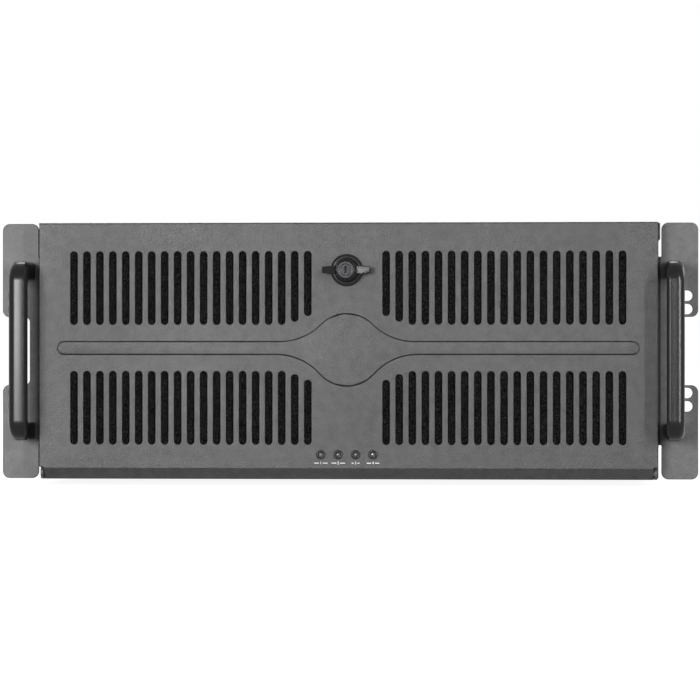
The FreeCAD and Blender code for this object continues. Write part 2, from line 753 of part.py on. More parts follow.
def make_bays():
    """Cage for the large drives on the floor behind the bay opening, with a blank over each bay."""
    left, right = "(bay_across - bay_width / 2)", "(bay_across + bay_width / 2)"
    near = f"({FRONT} + sheet)"
    far = f"({FRONT} + sheet + bay_depth)"
    top = f"(bay_floor + {BAYS} * bay_pitch)"
    foot = f"({FRONT} + panel_flange + cage_sheet)"
    outer_left, outer_right, roof = f"({left} - cage_sheet)", f"({right} + cage_sheet)", f"({top} + cage_sheet)"
    walls = [block("cage_side_1", outer_left, left, near, far, "2 * sheet", roof),
             block("cage_side_2", right, outer_right, near, far, "2 * sheet", roof),
             block("cage_foot_1", f"{left} - cage_foot", left, foot, far, "sheet", "2 * sheet + cage_gap"),
             block("cage_foot_2", right, f"{right} + cage_foot", foot, far, "sheet", "2 * sheet + cage_gap"),
             block("cage_floor", outer_left, outer_right, near, far, "bay_floor - cage_sheet", "bay_floor"),
             block("cage_roof", outer_left, outer_right, near, far, top, roof)]
    whole = fuse("drive_cage_walls", walls)
    slots = []
    for bay in range(BAYS):
        for step in (1, 2):
            middle = f"(bay_floor + ({bay} + 0.5) * bay_pitch)"
            where = f"({near} + {step} * bay_depth / 3)"
            slots.append(block(f"cage_slot_{bay + 1}_{step}", f"{outer_left} - cage_sheet",
                               f"{outer_right} + cage_sheet",
                               f"{where} - cage_slot_half", f"{where} + cage_slot_half",
                               f"{middle} - cage_slot_rise", f"{middle} + cage_slot_rise"))
    parts["drive_cage"] = cut("drive_cage", whole, slots)
    for bay in range(BAYS):
        low = f"(bay_floor + {bay} * bay_pitch + button_gap)"
        high = f"(bay_floor + {bay + 1} * bay_pitch - button_gap)"
        shell_left, shell_right = f"({left} + button_gap)", f"({right} - button_gap)"
        shell = block(f"bay_shell_{bay + 1}", shell_left, shell_right,
                      f"{FRONT} - bay_rise", f"{FRONT} + panel_flange", low, high)
        hollow = block(f"bay_hollow_{bay + 1}", f"{shell_left} + bay_wall", f"{shell_right} - bay_wall",
                       f"{FRONT} + bay_wall - bay_rise", f"{FRONT} + panel_flange + bay_rise",
                       f"{low} + bay_wall", f"{high} - bay_wall")
        grip = block(f"bay_grip_{bay + 1}", "bay_across - grip_half", "bay_across + grip_half",
                     f"{FRONT} - 2 * bay_rise", f"{FRONT} + cage_gap",
                     f"{low} - bay_rise", f"{low} + grip_height")
        name = f"bay_cover_{bay + 1}"
        parts[name] = cut(name, shell, [hollow, grip])


def make_controls():
    """Power and reset buttons in their housing, and the front ports."""
    near = f"({FRONT} + sheet)"
    back = f"({near} + housing_depth - housing_back)"
    wide = "(power_radius + housing_wall)"
    shell = block("button_shell", f"button_across - {wide}", f"button_across + {wide}",
                  near, f"{near} + housing_depth",
                  "reset_height - reset_radius - housing_wall", f"power_height + {wide}")
    bores = []
    for name in ("power", "reset"):
        height, radius = f"{name}_height", f"{name}_radius"
        bores.append(rod(f"{name}_bore", "Y", ("button_across", f"{near} - sheet", height),
                         f"{radius} + button_gap", f"{back} - {near} + sheet"))
        button = rod(f"{name}_button", "Y", ("button_across", f"{FRONT} - button_rise", height), radius,
                     f"{back} - {FRONT} + button_rise - button_travel - button_gap")
        parts[f"{name}_button"] = button
    parts["button_housing"] = cut("button_housing", shell, bores)
    half = "(port_apart / 2 + port_half + port_wall)"
    ports = block("port_shell", f"button_across - {half}", f"button_across + {half}",
                  near, f"{near} + housing_depth",
                  "port_height - port_low - port_wall", "port_height + port_low + port_wall")
    holes = []
    for side in (-1, 1):
        middle = f"(button_across + {side} * port_apart / 2)"
        holes.append(block(f"port_hole_{side + 2}", f"{middle} - port_half", f"{middle} + port_half",
                           f"{near} - sheet", back, "port_height - port_low", "port_height + port_high"))
    parts["usb_ports"] = cut("usb_ports", ports, holes)


# ---------------------------------------------------------------- inside

def make_inside():
    """Small drive cage, card hold-down bar with its pads, and the board's standoffs."""
    left = "(fan_across - disk_cage_width / 2)"
    right = "(fan_across + disk_cage_width / 2)"
    near = f"({FRONT} + sheet + fan_depth + disk_cage_gap)"
    far = f"({near} + disk_cage_depth)"
    top = "(sheet + disk_cage_height)"
    shell = block("disk_shell", left, right, near, far, "sheet", top)
    hollow = block("disk_hollow", f"{left} + cage_sheet", f"{right} - cage_sheet",
                   f"{near} - cage_sheet", f"{far} + cage_sheet",
                   "sheet + cage_sheet", f"{top} - cage_sheet")
    tube = cut("disk_tube", shell, [hollow])
    slots = []
    for level in range(DISKS):
        low = f"(sheet + cage_sheet + disk_slot_first + {level} * disk_slot_pitch)"
        slots.append(block(f"disk_slot_{level + 1}", f"{left} - cage_sheet", f"{right} + cage_sheet",
                           f"{near} + disk_slot_inset", f"{far} - disk_slot_inset",
                           low, f"{low} + disk_slot_rise"))
    parts["disk_cage"] = cut("disk_cage", tube, slots)

    bar = new_body("hold_down_bar")
    section = new_sketch(bar, "YZ_Plane")
    here = f"({FRONT} + bar_behind)"
    low = f"({PANEL_TOP} - bar_height)"
    outline(section, [
        (here, low), (f"{here} + sheet", low), (f"{here} + sheet", f"{PANEL_TOP} - sheet"),
        (f"{here} + bar_width - sheet", f"{PANEL_TOP} - sheet"), (f"{here} + bar_width - sheet", low),
        (f"{here} + bar_width", low), (f"{here} + bar_width", PANEL_TOP), (here, PANEL_TOP)])
    pad(bar, section, f"2 * {INSIDE}", symmetric=True)
    pads = []
    for place in (-1, 1):
        across = f"(card_first - 3 * card_pitch + {place} * card_pitch * 2)"
        pads.append(block(f"hold_down_pad_{place + 2}", f"{across} - pad_half", f"{across} + pad_half",
                          f"{here} + sheet", f"{here} + bar_width - sheet",
                          f"{low} - pad_drop", f"{PANEL_TOP} - sheet"))
    group("hold_down_pads", pads)

    posts = []
    for column, across in enumerate(BOARD_COLUMNS):
        for row, behind in enumerate(BOARD_ROWS):
            post = doc.addObject("Part::Prism", f"post_{column + 1}_{row + 1}")
            post.Polygon = 6
            bind(post, "Circumradius", "post_radius")
            bind(post, "Height", "post_height")
            bind(post, ".Placement.Base.x", f"io_across + io_width / 2 - board_inset - {across}")
            bind(post, ".Placement.Base.y", f"{REAR} - sheet - board_behind - {behind}")
            bind(post, ".Placement.Base.z", "sheet")
            posts.append(post)
    group("board_standoffs", posts)


# ---------------------------------------------------------------- ears and handles

def make_ears():
    """Rack ear: a face with two slotted tabs about an open notch, and a flange along the case's side."""
    body = new_body("ear_right")
    inner, outer = f"({OUTSIDE} + ear_sheet)", "(rack_width / 2)"
    low, high = "0", "case_height"
    notch_low, notch_high = f"({MIDDLE} - notch_height / 2)", f"({MIDDLE} + notch_height / 2)"
    deep = f"({outer} - notch_depth)"
    face = new_sketch(body, "XZ_Plane", f"{FRONT} + ear_sheet")
    outline(face, [
        (f"{inner} + ear_corner", low),
        (f"{outer} - ear_corner", low, f"{outer} - ear_corner", f"{low} + ear_corner", 1),
        (outer, f"{low} + ear_corner"),
        (outer, f"{notch_low} - ear_corner", f"{outer} - ear_corner", f"{notch_low} - ear_corner", 1),
        (f"{outer} - ear_corner", notch_low),
        (f"{deep} + notch_corner", notch_low, f"{deep} + notch_corner", f"{notch_low} + notch_corner", -1),
        (deep, f"{notch_low} + notch_corner"),
        (deep, f"{notch_high} - notch_corner", f"{deep} + notch_corner", f"{notch_high} - notch_corner", -1),
        (f"{deep} + notch_corner", notch_high),
        (f"{outer} - ear_corner", notch_high, f"{outer} - ear_corner", f"{notch_high} + ear_corner", 1),
        (outer, f"{notch_high} + ear_corner"),
        (outer, f"{high} - ear_corner", f"{outer} - ear_corner", f"{high} - ear_corner", 1),
        (f"{outer} - ear_corner", high),
        (f"{inner} + ear_corner", high, f"{inner} + ear_corner", f"{high} - ear_corner", 1),
        (inner, f"{high} - ear_corner"),
        (inner, f"{low} + ear_corner", f"{inner} + ear_corner", f"{low} + ear_corner", 1)])
    pad(body, face, "ear_sheet")
    flange = new_sketch(body, "XY_Plane", f"{MIDDLE} - ear_flange_height / 2")
    outline(flange, [(OUTSIDE, f"{FRONT} + ear_sheet"),
                     (OUTSIDE, f"{FRONT} + ear_depth"), (inner, f"{FRONT} + ear_depth"),
                     (inner, FRONT, inner, f"{FRONT} + ear_sheet", -1)])
    pad(body, flange, "ear_flange_height")
    slots = new_sketch(body, "XZ_Plane", FRONT)
    for side in (-1, 1):
        for rise in ("rack_hole_outer", "rack_hole_inner"):
            level_slot(slots, "rack_hole_spacing / 2", f"{MIDDLE} + {side} * {rise}",
                       "rack_slot_length", "rack_slot_width / 2")
    pocket(body, slots)
    mirror("ear_left", body)


def make_handles():
    """Pull handle: a bar bent into a C, round on its outer edge, that stands on the ear."""
    body = new_body("handle_right")
    outer = "(rack_width / 2 - handle_inset)"
    near, root = f"({FRONT} - handle_reach)", FRONT
    low, high = f"({MIDDLE} - handle_height / 2)", f"({MIDDLE} + handle_height / 2)"
    palm = f"({near} + handle_grip)"
    floor, roof = f"({low} + handle_leg)", f"({high} - handle_leg)"
    section = new_sketch(body, "YZ_Plane", f"{outer} - handle_width")
    outline(section, [
        (root, low), (root, floor),
        (f"{palm} + handle_palm", floor, f"{palm} + handle_palm", f"{floor} + handle_palm", -1),
        (palm, f"{floor} + handle_palm"),
        (palm, f"{roof} - handle_palm", f"{palm} + handle_palm", f"{roof} - handle_palm", -1),
        (f"{palm} + handle_palm", roof), (root, roof), (root, high),
        (f"{near} + handle_bend", high, f"{near} + handle_bend", f"{high} - handle_bend", 1),
        (near, f"{high} - handle_bend"),
        (near, f"{low} + handle_bend", f"{near} + handle_bend", f"{low} + handle_bend", 1),
        (f"{near} + handle_bend", low)])
    pad(body, section, "handle_width")
    far_side, near_side = value(outer), value(f"{outer} - handle_width")
    foot = value(root)

    def outside_edge(edge, side):
        """True for an edge of the bar's outer curve on one side."""
        middle = edge.valueAt((edge.FirstParameter + edge.LastParameter) / 2)
        if abs(middle.x - side) > 0.01 or abs(middle.y - foot) < 0.01:
            return False
        return (middle.y < value(near) + 0.01 or middle.z > value(high) - value("handle_bend") * 0.5
                or middle.z < value(low) + value("handle_bend") * 0.5) \
            and (middle.y < value(palm) - 0.01 or middle.z > value(roof) + 0.01 or middle.z < value(floor) - 0.01)

    dress(body, "Fillet", "Radius", "handle_round", lambda edge: outside_edge(edge, far_side))
    dress(body, "Chamfer", "Size", "handle_edge", lambda edge: outside_edge(edge, near_side))
    mirror("handle_left", body)


# ---------------------------------------------------------------- hinge

def make_hinge():
    """Fixed bracket inside each side of the tray, and the pin that the door turns on."""
    body = new_body("hinge_bracket_right")
    plate = new_sketch(body, "YZ_Plane", f"{INSIDE} - bracket")
    end = f"({FRONT} + bracket_length)"
    outline(plate, [
        (PIN_Y, "0"), (f"{FRONT} - bracket_gap", "0"), (f"{FRONT} - bracket_gap", "sheet"), (end, "sheet"),
        (end, "2 * pin_height"), (PIN_Y, "2 * pin_height", PIN_Y, "pin_height", 1)])
    pad(body, plate, "bracket")
    hole = new_sketch(body, "YZ_Plane", INSIDE)
    circle(hole, PIN_Y, "pin_height", "pin_radius")
    pocket(body, hole)
    mirror("hinge_bracket_left", body)
    pins = []
    for side in (-1, 1):
        left = f"{BAND} - pin_reach" if side > 0 else f"-{INSIDE}"
        pins.append(rod(f"hinge_pin_{side + 2}", "X", (left, PIN_Y, "pin_height"), "pin_radius",
                        "bracket + hinge_gap + pin_reach"))
    group("hinge_pins", pins)


# ---------------------------------------------------------------- door

def emboss_outline(sketch, inset):
    """The raised bar with round ends and a round bulge about its middle, drawn smaller by an inset."""
    half = f"(emboss_half - {inset})"
    reach = f"(emboss_reach - emboss_half)"
    bulge = f"(bulge_radius - {inset})"
    blend = f"(bulge_blend + {inset})"
    drop = "bulge_drop"
    corners = []
    ends = []
    for up in (1, -1):
        centre = f"(emboss_height - {drop})"
        rise = f"(emboss_height + {up} * ({half} + {blend}) - {centre})"
        run = f"sqrt(({bulge} + {blend}) ^ 2 - {rise} ^ 2)"
        ends.append((centre, rise, run))
    (centre, rise_up, run_up), (centre, rise_down, run_down) = ends
    share = f"({bulge} / ({bulge} + {blend}))"
    neck_up, neck_down = f"{run_up} * {share}", f"{run_down} * {share}"
    height_up, height_down = f"{centre} + {rise_up} * {share}", f"{centre} + {rise_down} * {share}"
    top, bottom = f"(emboss_height + {half})", f"(emboss_height - {half})"
    corners.append((f"-{reach}", bottom))
    corners.append((f"-{run_down}", bottom, f"-{run_down}", f"{bottom} - {blend}", -1))
    corners.append((f"-{neck_down}", height_down, "0", centre, 1))
    corners.append((neck_down, height_down, run_down, f"{bottom} - {blend}", -1))
    corners.append((run_down, bottom))
    corners.append((reach, bottom, reach, "emboss_height", 1))
    corners.append((reach, top))
    corners.append((run_up, top, run_up, f"{top} + {blend}", -1))
    corners.append((neck_up, height_up, "0", centre, 1))
    corners.append((f"-{neck_up}", height_up, f"-{run_up}", f"{top} + {blend}", -1))
    corners.append((f"-{run_up}", top))
    corners.append((f"-{reach}", top, f"-{reach}", "emboss_height", 1))
    outline(sketch, corners)


def make_door():
    """Door folded from one sheet: slotted face, flanges back along top and sides, bevelled foot."""
    body = new_body("door_panel")
    half = "(door_width / 2)"
    slant = "(sheet * 1.41421)"
    section = new_sketch(body, "YZ_Plane")
    outline(section, [
        (FACE, "case_height"), (FACE, "bevel"),
        (f"{FACE} + bevel", "0"), (f"{FACE} + bevel + {slant}", "0"),
        (f"{FACE} + sheet", f"bevel + {slant} - sheet"), (f"{FACE} + sheet", "case_height - sheet"),
        (f"{FACE} + door_flange", "case_height - sheet"), (f"{FACE} + door_flange", "case_height")])
    pad(body, section, "door_width", symmetric=True)
    front, top = value(FACE), value("case_height")
    dress(body, "Fillet", "Radius", "door_bend",
          lambda edge: straight(edge, X_AXIS) and abs(edge.Vertexes[0].Y - front) < 0.01)
    for side in (-1, 1):
        flange = new_sketch(body, "XZ_Plane", f"{FACE} + door_flange")
        left, right = (half + " - sheet", half) if side > 0 else ("-" + half, "sheet - " + half)
        rectangle(flange, left, right, "2 * pin_height + flange_gap", "case_height - sheet / 2")
        pad(body, flange, "door_flange - sheet / 2")
    relief = new_sketch(body, "XZ_Plane", FACE)
    rectangle(relief, BAND, f"{half} + sheet", "-sheet", "relief_height")
    rectangle(relief, f"-{half} - sheet", f"-{BAND}", "-sheet", "relief_height")
    pocket(body, relief)
    for side in (-1, 1):
        tab = new_sketch(body, "YZ_Plane", f"{BAND} - sheet" if side > 0 else f"-{BAND}")
        outline(tab, [
            (f"{FACE} + sheet / 2", "bevel + tab_rise"), (f"{FACE} + sheet / 2", "bevel"),
            (PIN_Y, "pin_height - hinge_tab", PIN_Y, "pin_height", 1),
            (PIN_Y, "pin_height + hinge_tab")])
        pad(body, tab, "sheet")
    bores = new_sketch(body, "YZ_Plane")
    circle(bores, PIN_Y, "pin_height", "pin_radius + pin_play")
    pocket(body, bores)

    raised = new_sketch(body, "XZ_Plane", FACE)
    emboss_outline(raised, "0")
    pad(body, raised, "emboss_rise")
    raised_y = value(f"{FACE} - emboss_rise")
    dress(body, "Chamfer", "Size", "emboss_bevel",
          lambda edge: all(abs(vertex.Y - raised_y) < 0.01 for vertex in edge.Vertexes))
    hollow = new_sketch(body, "XZ_Plane", f"{FACE} + sheet")
    emboss_outline(hollow, "sheet")
    pocket(body, hollow, "emboss_rise", reverse=True)

    holes = new_sketch(body, "XZ_Plane", FACE)
    circle(holes, "0", "lock_height", "lock_barrel")
    for place in (-1.5, -0.5, 0.5, 1.5):
        many_sided(holes, f"{place} * lamp_pitch", "lamp_height", "lamp_radius + lamp_gap")
    pocket(body, holes)

    for side in (-1, 1):
        for row, (near, far) in enumerate((("slot_near", "slot_far"), ("-slot_near", "-slot_far"))):
            low, high = (near, far) if row == 0 else (far, near)
            one = new_sketch(body, "XZ_Plane", FACE)
            upright_slot(one, f"{side} * (slot_first + 2 * slot_pitch)", f"emboss_height + {low}",
                         f"emboss_height + {high}", "slot_width / 2")
            repeat(body, pocket(body, one), "X_Axis", "slot_pitch", SLOTS_LEVEL, reverse=side < 0)
            short = new_sketch(body, "XZ_Plane", FACE)
            for step, trim in enumerate(("slot_trim_first", "slot_trim_second")):
                inner = f"{near} + {trim}" if row == 0 else f"{near} - {trim}"
                ends = (inner, far) if row == 0 else (far, inner)
                upright_slot(short, f"{side} * (slot_first + {step} * slot_pitch)", f"emboss_height + {ends[0]}",
                             f"emboss_height + {ends[1]}", "slot_width / 2")
            pocket(body, short)


def make_filters():
    """Foam pad behind each half of the slots, in a tray with a ladder of openings."""
    back = f"({FACE} + sheet)"
    cover = f"({back} + filter_depth + filter_sheet)"
    inner, outer = "filter_inner", "filter_outer"
    body = new_body("filter_retainer_right")
    rim = new_sketch(body, "XZ_Plane", cover)
    rectangle(rim, inner, outer, "filter_low", "filter_high")
    pad(body, rim, "filter_depth + filter_sheet")
    pan = new_sketch(body, "XZ_Plane", back)
    rectangle(pan, f"{inner} + filter_sheet", f"{outer} - filter_sheet",
              "filter_low + filter_sheet", "filter_high - filter_sheet")
    pocket(body, pan, "filter_depth")
    windows = new_sketch(body, "XZ_Plane", cover)
    step = f"(({outer} - {inner} - filter_bar) / {PAN_COLUMNS})"
    rise = f"((filter_high - filter_low - filter_bar) / {PAN_ROWS})"
    for column in range(PAN_COLUMNS):
        for row in range(PAN_ROWS):
            left, low = f"{inner} + filter_bar + {column} * {step}", f"filter_low + filter_bar + {row} * {rise}"
            rectangle(windows, left, f"{left} + {step} - filter_bar", low, f"{low} + {rise} - filter_bar")
    pocket(body, windows)
    mirror("filter_retainer_left", body)
    for name, side in (("filter_right", 1), ("filter_left", -1)):
        ends = (f"{inner} + filter_sheet + soft_gap", f"{outer} - filter_sheet - soft_gap")
        left, right = ends if side > 0 else (f"-({ends[1]})", f"-({ends[0]})")
        parts[name] = block(name, left, right, f"{back} + soft_gap", f"{back} + filter_depth - soft_gap",
                            "filter_low + filter_sheet + soft_gap", "filter_high - filter_sheet - soft_gap")


# ---------------------------------------------------------------- lock

def make_lock():
    """Wing knob lock: housing in the door, turning knob with its key cylinder, and the cam behind."""
    place = ("0", FACE, "lock_height")
    housing = new_body("lock_housing", *place)
    bore, neck = "(knob_stem + fit_play)", "(spindle + fit_play)"
    turn(housing, [
        ("-lock_flange_rise", bore), ("-lock_flange_rise", "lock_flange - flange_bevel"),
        ("-lock_flange_rise / 2", "lock_flange"),
        ("0", "lock_flange"), ("0", "lock_barrel"), ("lock_length", "lock_barrel"), ("lock_length", neck),
        ("lock_length - lock_wall", neck), ("lock_length - lock_wall", bore)])

    nut = new_body("lock_nut", *place)
    ring = new_sketch(nut, "XZ_Plane", "sheet + nut_depth")
    corners = [(f"nut_radius * {math.cos(math.radians(60 * step)):.6f}",
                f"nut_radius * {math.sin(math.radians(60 * step)):.6f}") for step in range(6)]
    outline(ring, corners)
    circle(ring, "0", "0", "lock_barrel")
    pad(nut, ring, "nut_depth")

    knob = new_body("lock_knob", *place)
    seat = "(lock_flange_rise + knob_gap)"
    stem_end = "(lock_length - lock_wall - knob_gap)"
    core_end = f"(-{seat})"
    turn(knob, [
        ("cam_behind", "0"), ("cam_behind", "spindle"), (stem_end, "spindle"), (stem_end, "knob_stem"),
        (f"-{seat}", "knob_stem"), (f"-{seat}", "knob_base"), ("knob_bevel - knob_rise", "knob_face"),
        ("-knob_rise", "knob_face - knob_bevel"), ("-knob_rise", "cylinder_radius"), (core_end, "cylinder_radius"),
        (core_end, "0")])
    for side in (-1, 1):
        wing = new_sketch(knob, "XY_Plane")
        root = f"{side} * (cylinder_radius + wing_join)"
        outline(wing, [
            (root, f"-{seat} - wing_gap"), (f"{side} * wing_reach", f"-{seat} - wing_gap"),
            (f"{side} * wing_reach", "wing_slope - wing_top"), (f"{side} * (knob_face + wing_join)", "-wing_top"),
            (root, "-wing_top")])
        pad(knob, wing, "wing_root", symmetric=True)
    sides = new_sketch(knob, "XZ_Plane")
    for side in (-1, 1):
        for up in (-1, 1):
            past, wide = f"{side} * (wing_reach + wing_join)", f"{up} * (wing_root / 2 + wing_ease)"
            outline(sides, [(f"{side} * (knob_base + wing_join)", wide), (past, wide),
                            (past, f"{up} * wing_tip / 2")])
    pocket(knob, sides)

    cylinder = new_body("lock_cylinder", *place)
    turn(cylinder, [
        ("core_inset - knob_rise", "plug_radius + fit_play"), ("core_inset - knob_rise", "cylinder_radius"),
        (core_end, "cylinder_radius"), (core_end, "plug_radius + fit_play")])

    plug = new_body("lock_plug", *place)
    turn(plug, [("plug_inset - knob_rise", "0"), ("plug_inset - knob_rise", "plug_radius"),
                (f"{core_end} - button_gap", "plug_radius"), (f"{core_end} - button_gap", "0")])
    keyway = new_sketch(plug, "XZ_Plane", "-knob_rise")
    rectangle(keyway, "-key_width / 2", "key_width / 2", "-key_height / 2", "key_height / 2")
    pocket(plug, keyway, "key_depth")

    cam = new_body("lock_cam", *place)
    plate = new_sketch(cam, "XZ_Plane", "cam_behind + cam_sheet")
    outline(plate, [("0", "-cam_half", "0", "0", 1), ("0", "cam_half"),
                    ("-cam_length", "cam_tip"), ("-cam_length", "-cam_tip")])
    pad(cam, plate, "cam_sheet")


# ---------------------------------------------------------------- lamps

def make_lamps():
    """Four indicator lamps in black bezels, on a narrow board behind the door."""
    bezels = []
    lamps = []
    for index, place in enumerate((-1.5, -0.5, 0.5, 1.5), 1):
        across = f"({place} * lamp_pitch)"
        disc = rod(f"bezel_disc_{index}", "Y", (across, f"{FACE} - bezel_rise", "lamp_height"),
                   "bezel_radius", "bezel_rise", ROUND_SIDES)
        bore = rod(f"bezel_bore_{index}", "Y", (across, f"{FACE} - 2 * bezel_rise", "lamp_height"),
                   "lamp_radius", "3 * bezel_rise", ROUND_SIDES)
        bezels.append(cut(f"bezel_{index}", disc, [bore]))
        lamps.append(rod(f"lamp_{index}", "Y", (across, f"{FACE} - lamp_rise", "lamp_height"),
                         "lamp_radius", "lamp_rise + sheet + lamp_tail", ROUND_SIDES))
    group("lamp_bezels", bezels)
    group("lamps", lamps)
    half, near = "(filter_inner - lamp_board_gap)", f"({FACE} + sheet + lamp_tail)"
    parts["lamp_board"] = block("lamp_board", f"-{half}", half, near, f"{near} + lamp_board",
                                "lamp_height - lamp_board_half", "lamp_height + lamp_board_half")


# ---------------------------------------------------------------- build, check and write

make_tray()
make_cover()
make_thumb_screws()
make_rear_panel()
make_card_covers()
make_front_panel()
make_fan()
make_bays()
make_controls()
make_inside()
make_ears()
make_handles()
make_hinge()
make_door()
make_filters()
make_lock()
make_lamps()
doc.recompute()

for item in doc.Objects:
    if "Invalid" in item.State or "Error" in item.State:
        raise ValueError(f"{item.Name} did not build: {item.State}")

os.makedirs("parts", exist_ok=True)
for node, item in parts.items():
    item.Label = node
    if item.Shape.isNull() or not item.Shape.isValid():
        raise ValueError(f"{node} has no valid shape")
    item.Shape.exportStep(f"parts/{node}.step")
    box = item.Shape.BoundBox
    print(f"{node:24s} solids {len(item.Shape.Solids)}  x {box.XMin:.1f}..{box.XMax:.1f}"
          f"  y {box.YMin:.1f}..{box.YMax:.1f}  z {box.ZMin:.1f}..{box.ZMax:.1f}")
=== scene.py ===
"""Dresses the rack case: a finish for every piece, rounded sheet edges, and the small parts.

The case stands on z = 0 with its front door towards -Y. Lengths are in metres.
"""

import json
import logging
import math
from dataclasses import dataclass, field
from enum import Enum
from typing import Any, Callable, Iterable, Sequence

import bmesh
import bpy
from mathutils import Matrix, Vector, geometry, noise

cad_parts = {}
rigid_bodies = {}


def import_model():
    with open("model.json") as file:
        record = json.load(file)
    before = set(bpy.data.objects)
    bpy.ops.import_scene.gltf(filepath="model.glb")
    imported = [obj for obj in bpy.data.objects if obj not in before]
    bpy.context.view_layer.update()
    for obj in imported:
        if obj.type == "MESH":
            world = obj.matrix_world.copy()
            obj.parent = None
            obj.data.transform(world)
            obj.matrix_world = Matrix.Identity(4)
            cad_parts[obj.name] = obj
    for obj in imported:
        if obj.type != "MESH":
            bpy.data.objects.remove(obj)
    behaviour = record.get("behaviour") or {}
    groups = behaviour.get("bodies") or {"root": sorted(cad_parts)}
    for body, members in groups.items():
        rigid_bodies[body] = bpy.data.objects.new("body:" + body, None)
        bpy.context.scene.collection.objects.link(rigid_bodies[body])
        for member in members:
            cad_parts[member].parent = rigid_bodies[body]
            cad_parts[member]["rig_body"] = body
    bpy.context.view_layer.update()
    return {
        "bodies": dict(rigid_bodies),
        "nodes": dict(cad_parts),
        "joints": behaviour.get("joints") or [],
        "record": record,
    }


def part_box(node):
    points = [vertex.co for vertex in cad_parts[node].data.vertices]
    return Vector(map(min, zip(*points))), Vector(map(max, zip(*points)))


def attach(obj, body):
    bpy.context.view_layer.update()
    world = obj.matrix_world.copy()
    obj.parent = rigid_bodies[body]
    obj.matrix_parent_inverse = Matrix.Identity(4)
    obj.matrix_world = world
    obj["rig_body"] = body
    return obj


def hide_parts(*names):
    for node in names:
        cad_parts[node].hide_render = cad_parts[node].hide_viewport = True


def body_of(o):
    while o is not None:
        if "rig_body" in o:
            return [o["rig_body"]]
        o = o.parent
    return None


MM = 0.001
WELD = 0.002 * MM       # corners nearer than this are one corner
SPECK = 0.001 * MM      # faces narrower than this are taken away
HAIR = 0.01 * MM        # play when a place is looked up in a mesh
FLAT_ANGLE = 0.2        # faces that meet at less than this, in degrees, are one flat side
SQUARE = 0.999          # least share of a normal along an axis on a flat side
WHITE = (1.0, 1.0, 1.0, 1.0)
SIDES = {"right": 1, "left": -1}
log = logging.getLogger("rack_case")


class Body(Enum):
    """The moving and fixed bodies that a piece can ride on."""

    CASE = "case"
    LID = "lid"
    DOOR = "door"
    KNOB = "knob"
    ROTOR = "rotor"


class Surface(Enum):
    """The kinds of surface that the finishes share."""

    GRAINED = "Grained Surface"
    FOAM = "Open Cell Foam"
    SHEET = "Rolled Sheet"


# ------------------------------------------------------------------ nodes

@dataclass
class Wiring:
    """Short ways to add nodes to one tree and to join them."""

    tree: bpy.types.NodeTree

    def put(self, value: Any, socket: bpy.types.NodeSocket) -> None:
        """Join an output socket to an input, or set the input to a plain value."""
        if isinstance(value, bpy.types.NodeSocket):
            self.tree.links.new(value, socket)
        else:
            socket.default_value = value

    def add(self, kind: str, fed: dict[str | int, Any] | None = None, **settings: Any) -> bpy.types.Node:
        """Add a node.

        Args:
            kind: The node's type name.
            fed: What its inputs get, as sockets or plain values.
            settings: Properties to set on it.

        Returns:
            The new node.
        """
        node = self.tree.nodes.new(kind)
        for name, value in settings.items():
            setattr(node, name, value)
        for name, value in (fed or {}).items():
            self.put(value, node.inputs[name])
        return node

    def math(self, operation: str, first: Any, second: Any = 0.0) -> bpy.types.NodeSocket:
        """Add a Math node.

        Args:
            operation: What the node does.
            first: A socket or a number.
            second: A socket or a number.

        Returns:
            The node's output socket.
        """
        return self.add("ShaderNodeMath", {0: first, 1: second}, operation=operation).outputs[0]

    def grain(self, place: Any, scale: Any, detail: float = 2.0) -> bpy.types.NodeSocket:
        """Add a Noise Texture.

        Args:
            place: The coordinates.
            scale: Cells in a metre.
            detail: How much finer grain lies in it.

        Returns:
            The noise value, about 0.5 in the middle.
        """
        return self.add("ShaderNodeTexNoise", {"Vector": place, "Scale": scale, "Detail": detail}).outputs[0]

    def spread(self, value: Any, middle: Any, reach: Any, low: float = 0.3, high: float = 0.7) -> bpy.types.NodeSocket:
        """Map a noise value to a range about a middle.

        Args:
            value: The noise value.
            middle: The middle of the new range.
            reach: How far the new range goes each way.
            low: The noise value that gives the lower end.
            high: The noise value that gives the upper end.

        Returns:
            The mapped value.
        """
        ends = {"From Min": low, "From Max": high,
                "To Min": self.math("SUBTRACT", middle, reach), "To Max": self.math("ADD", middle, reach)}
        return self.add("ShaderNodeMapRange", {"Value": value, **ends}).outputs["Result"]

    def shade(self, colour: Any, value: Any) -> bpy.types.NodeSocket:
        """Make a colour lighter or darker by a factor."""
        return self.add("ShaderNodeHueSaturation", {"Color": colour, "Value": value}).outputs["Color"]


def own_nodes(owner: bpy.types.Material | bpy.types.World) -> Wiring:
    """Give a material or a world an empty tree of its own."""
    owner.use_nodes = True
    owner.node_tree.nodes.clear()
    return Wiring(owner.node_tree)


def open_group(name: str, kind: str, inputs: dict[str, tuple[str, Any]],
               outputs: dict[str, str]) -> tuple[Wiring, bpy.types.Node, bpy.types.Node]:
    """Start a node group with named inputs and outputs.

    Args:
        name: The group's name.
        kind: The tree's type name.
        inputs: For each input its socket type and its default.
        outputs: For each output its socket type.

    Returns:
        The wiring of the new tree, its input node and its output node.
    """
    tree = bpy.data.node_groups.new(name, kind)
    for label, (socket_type, default) in inputs.items():
        socket = tree.interface.new_socket(label, in_out="INPUT", socket_type=socket_type)
        if default is not None:
            socket.default_value = default
    for label, socket_type in outputs.items():
        tree.interface.new_socket(label, in_out="OUTPUT", socket_type=socket_type)
    wiring = Wiring(tree)
    return wiring, wiring.add("NodeGroupInput"), wiring.add("NodeGroupOutput")


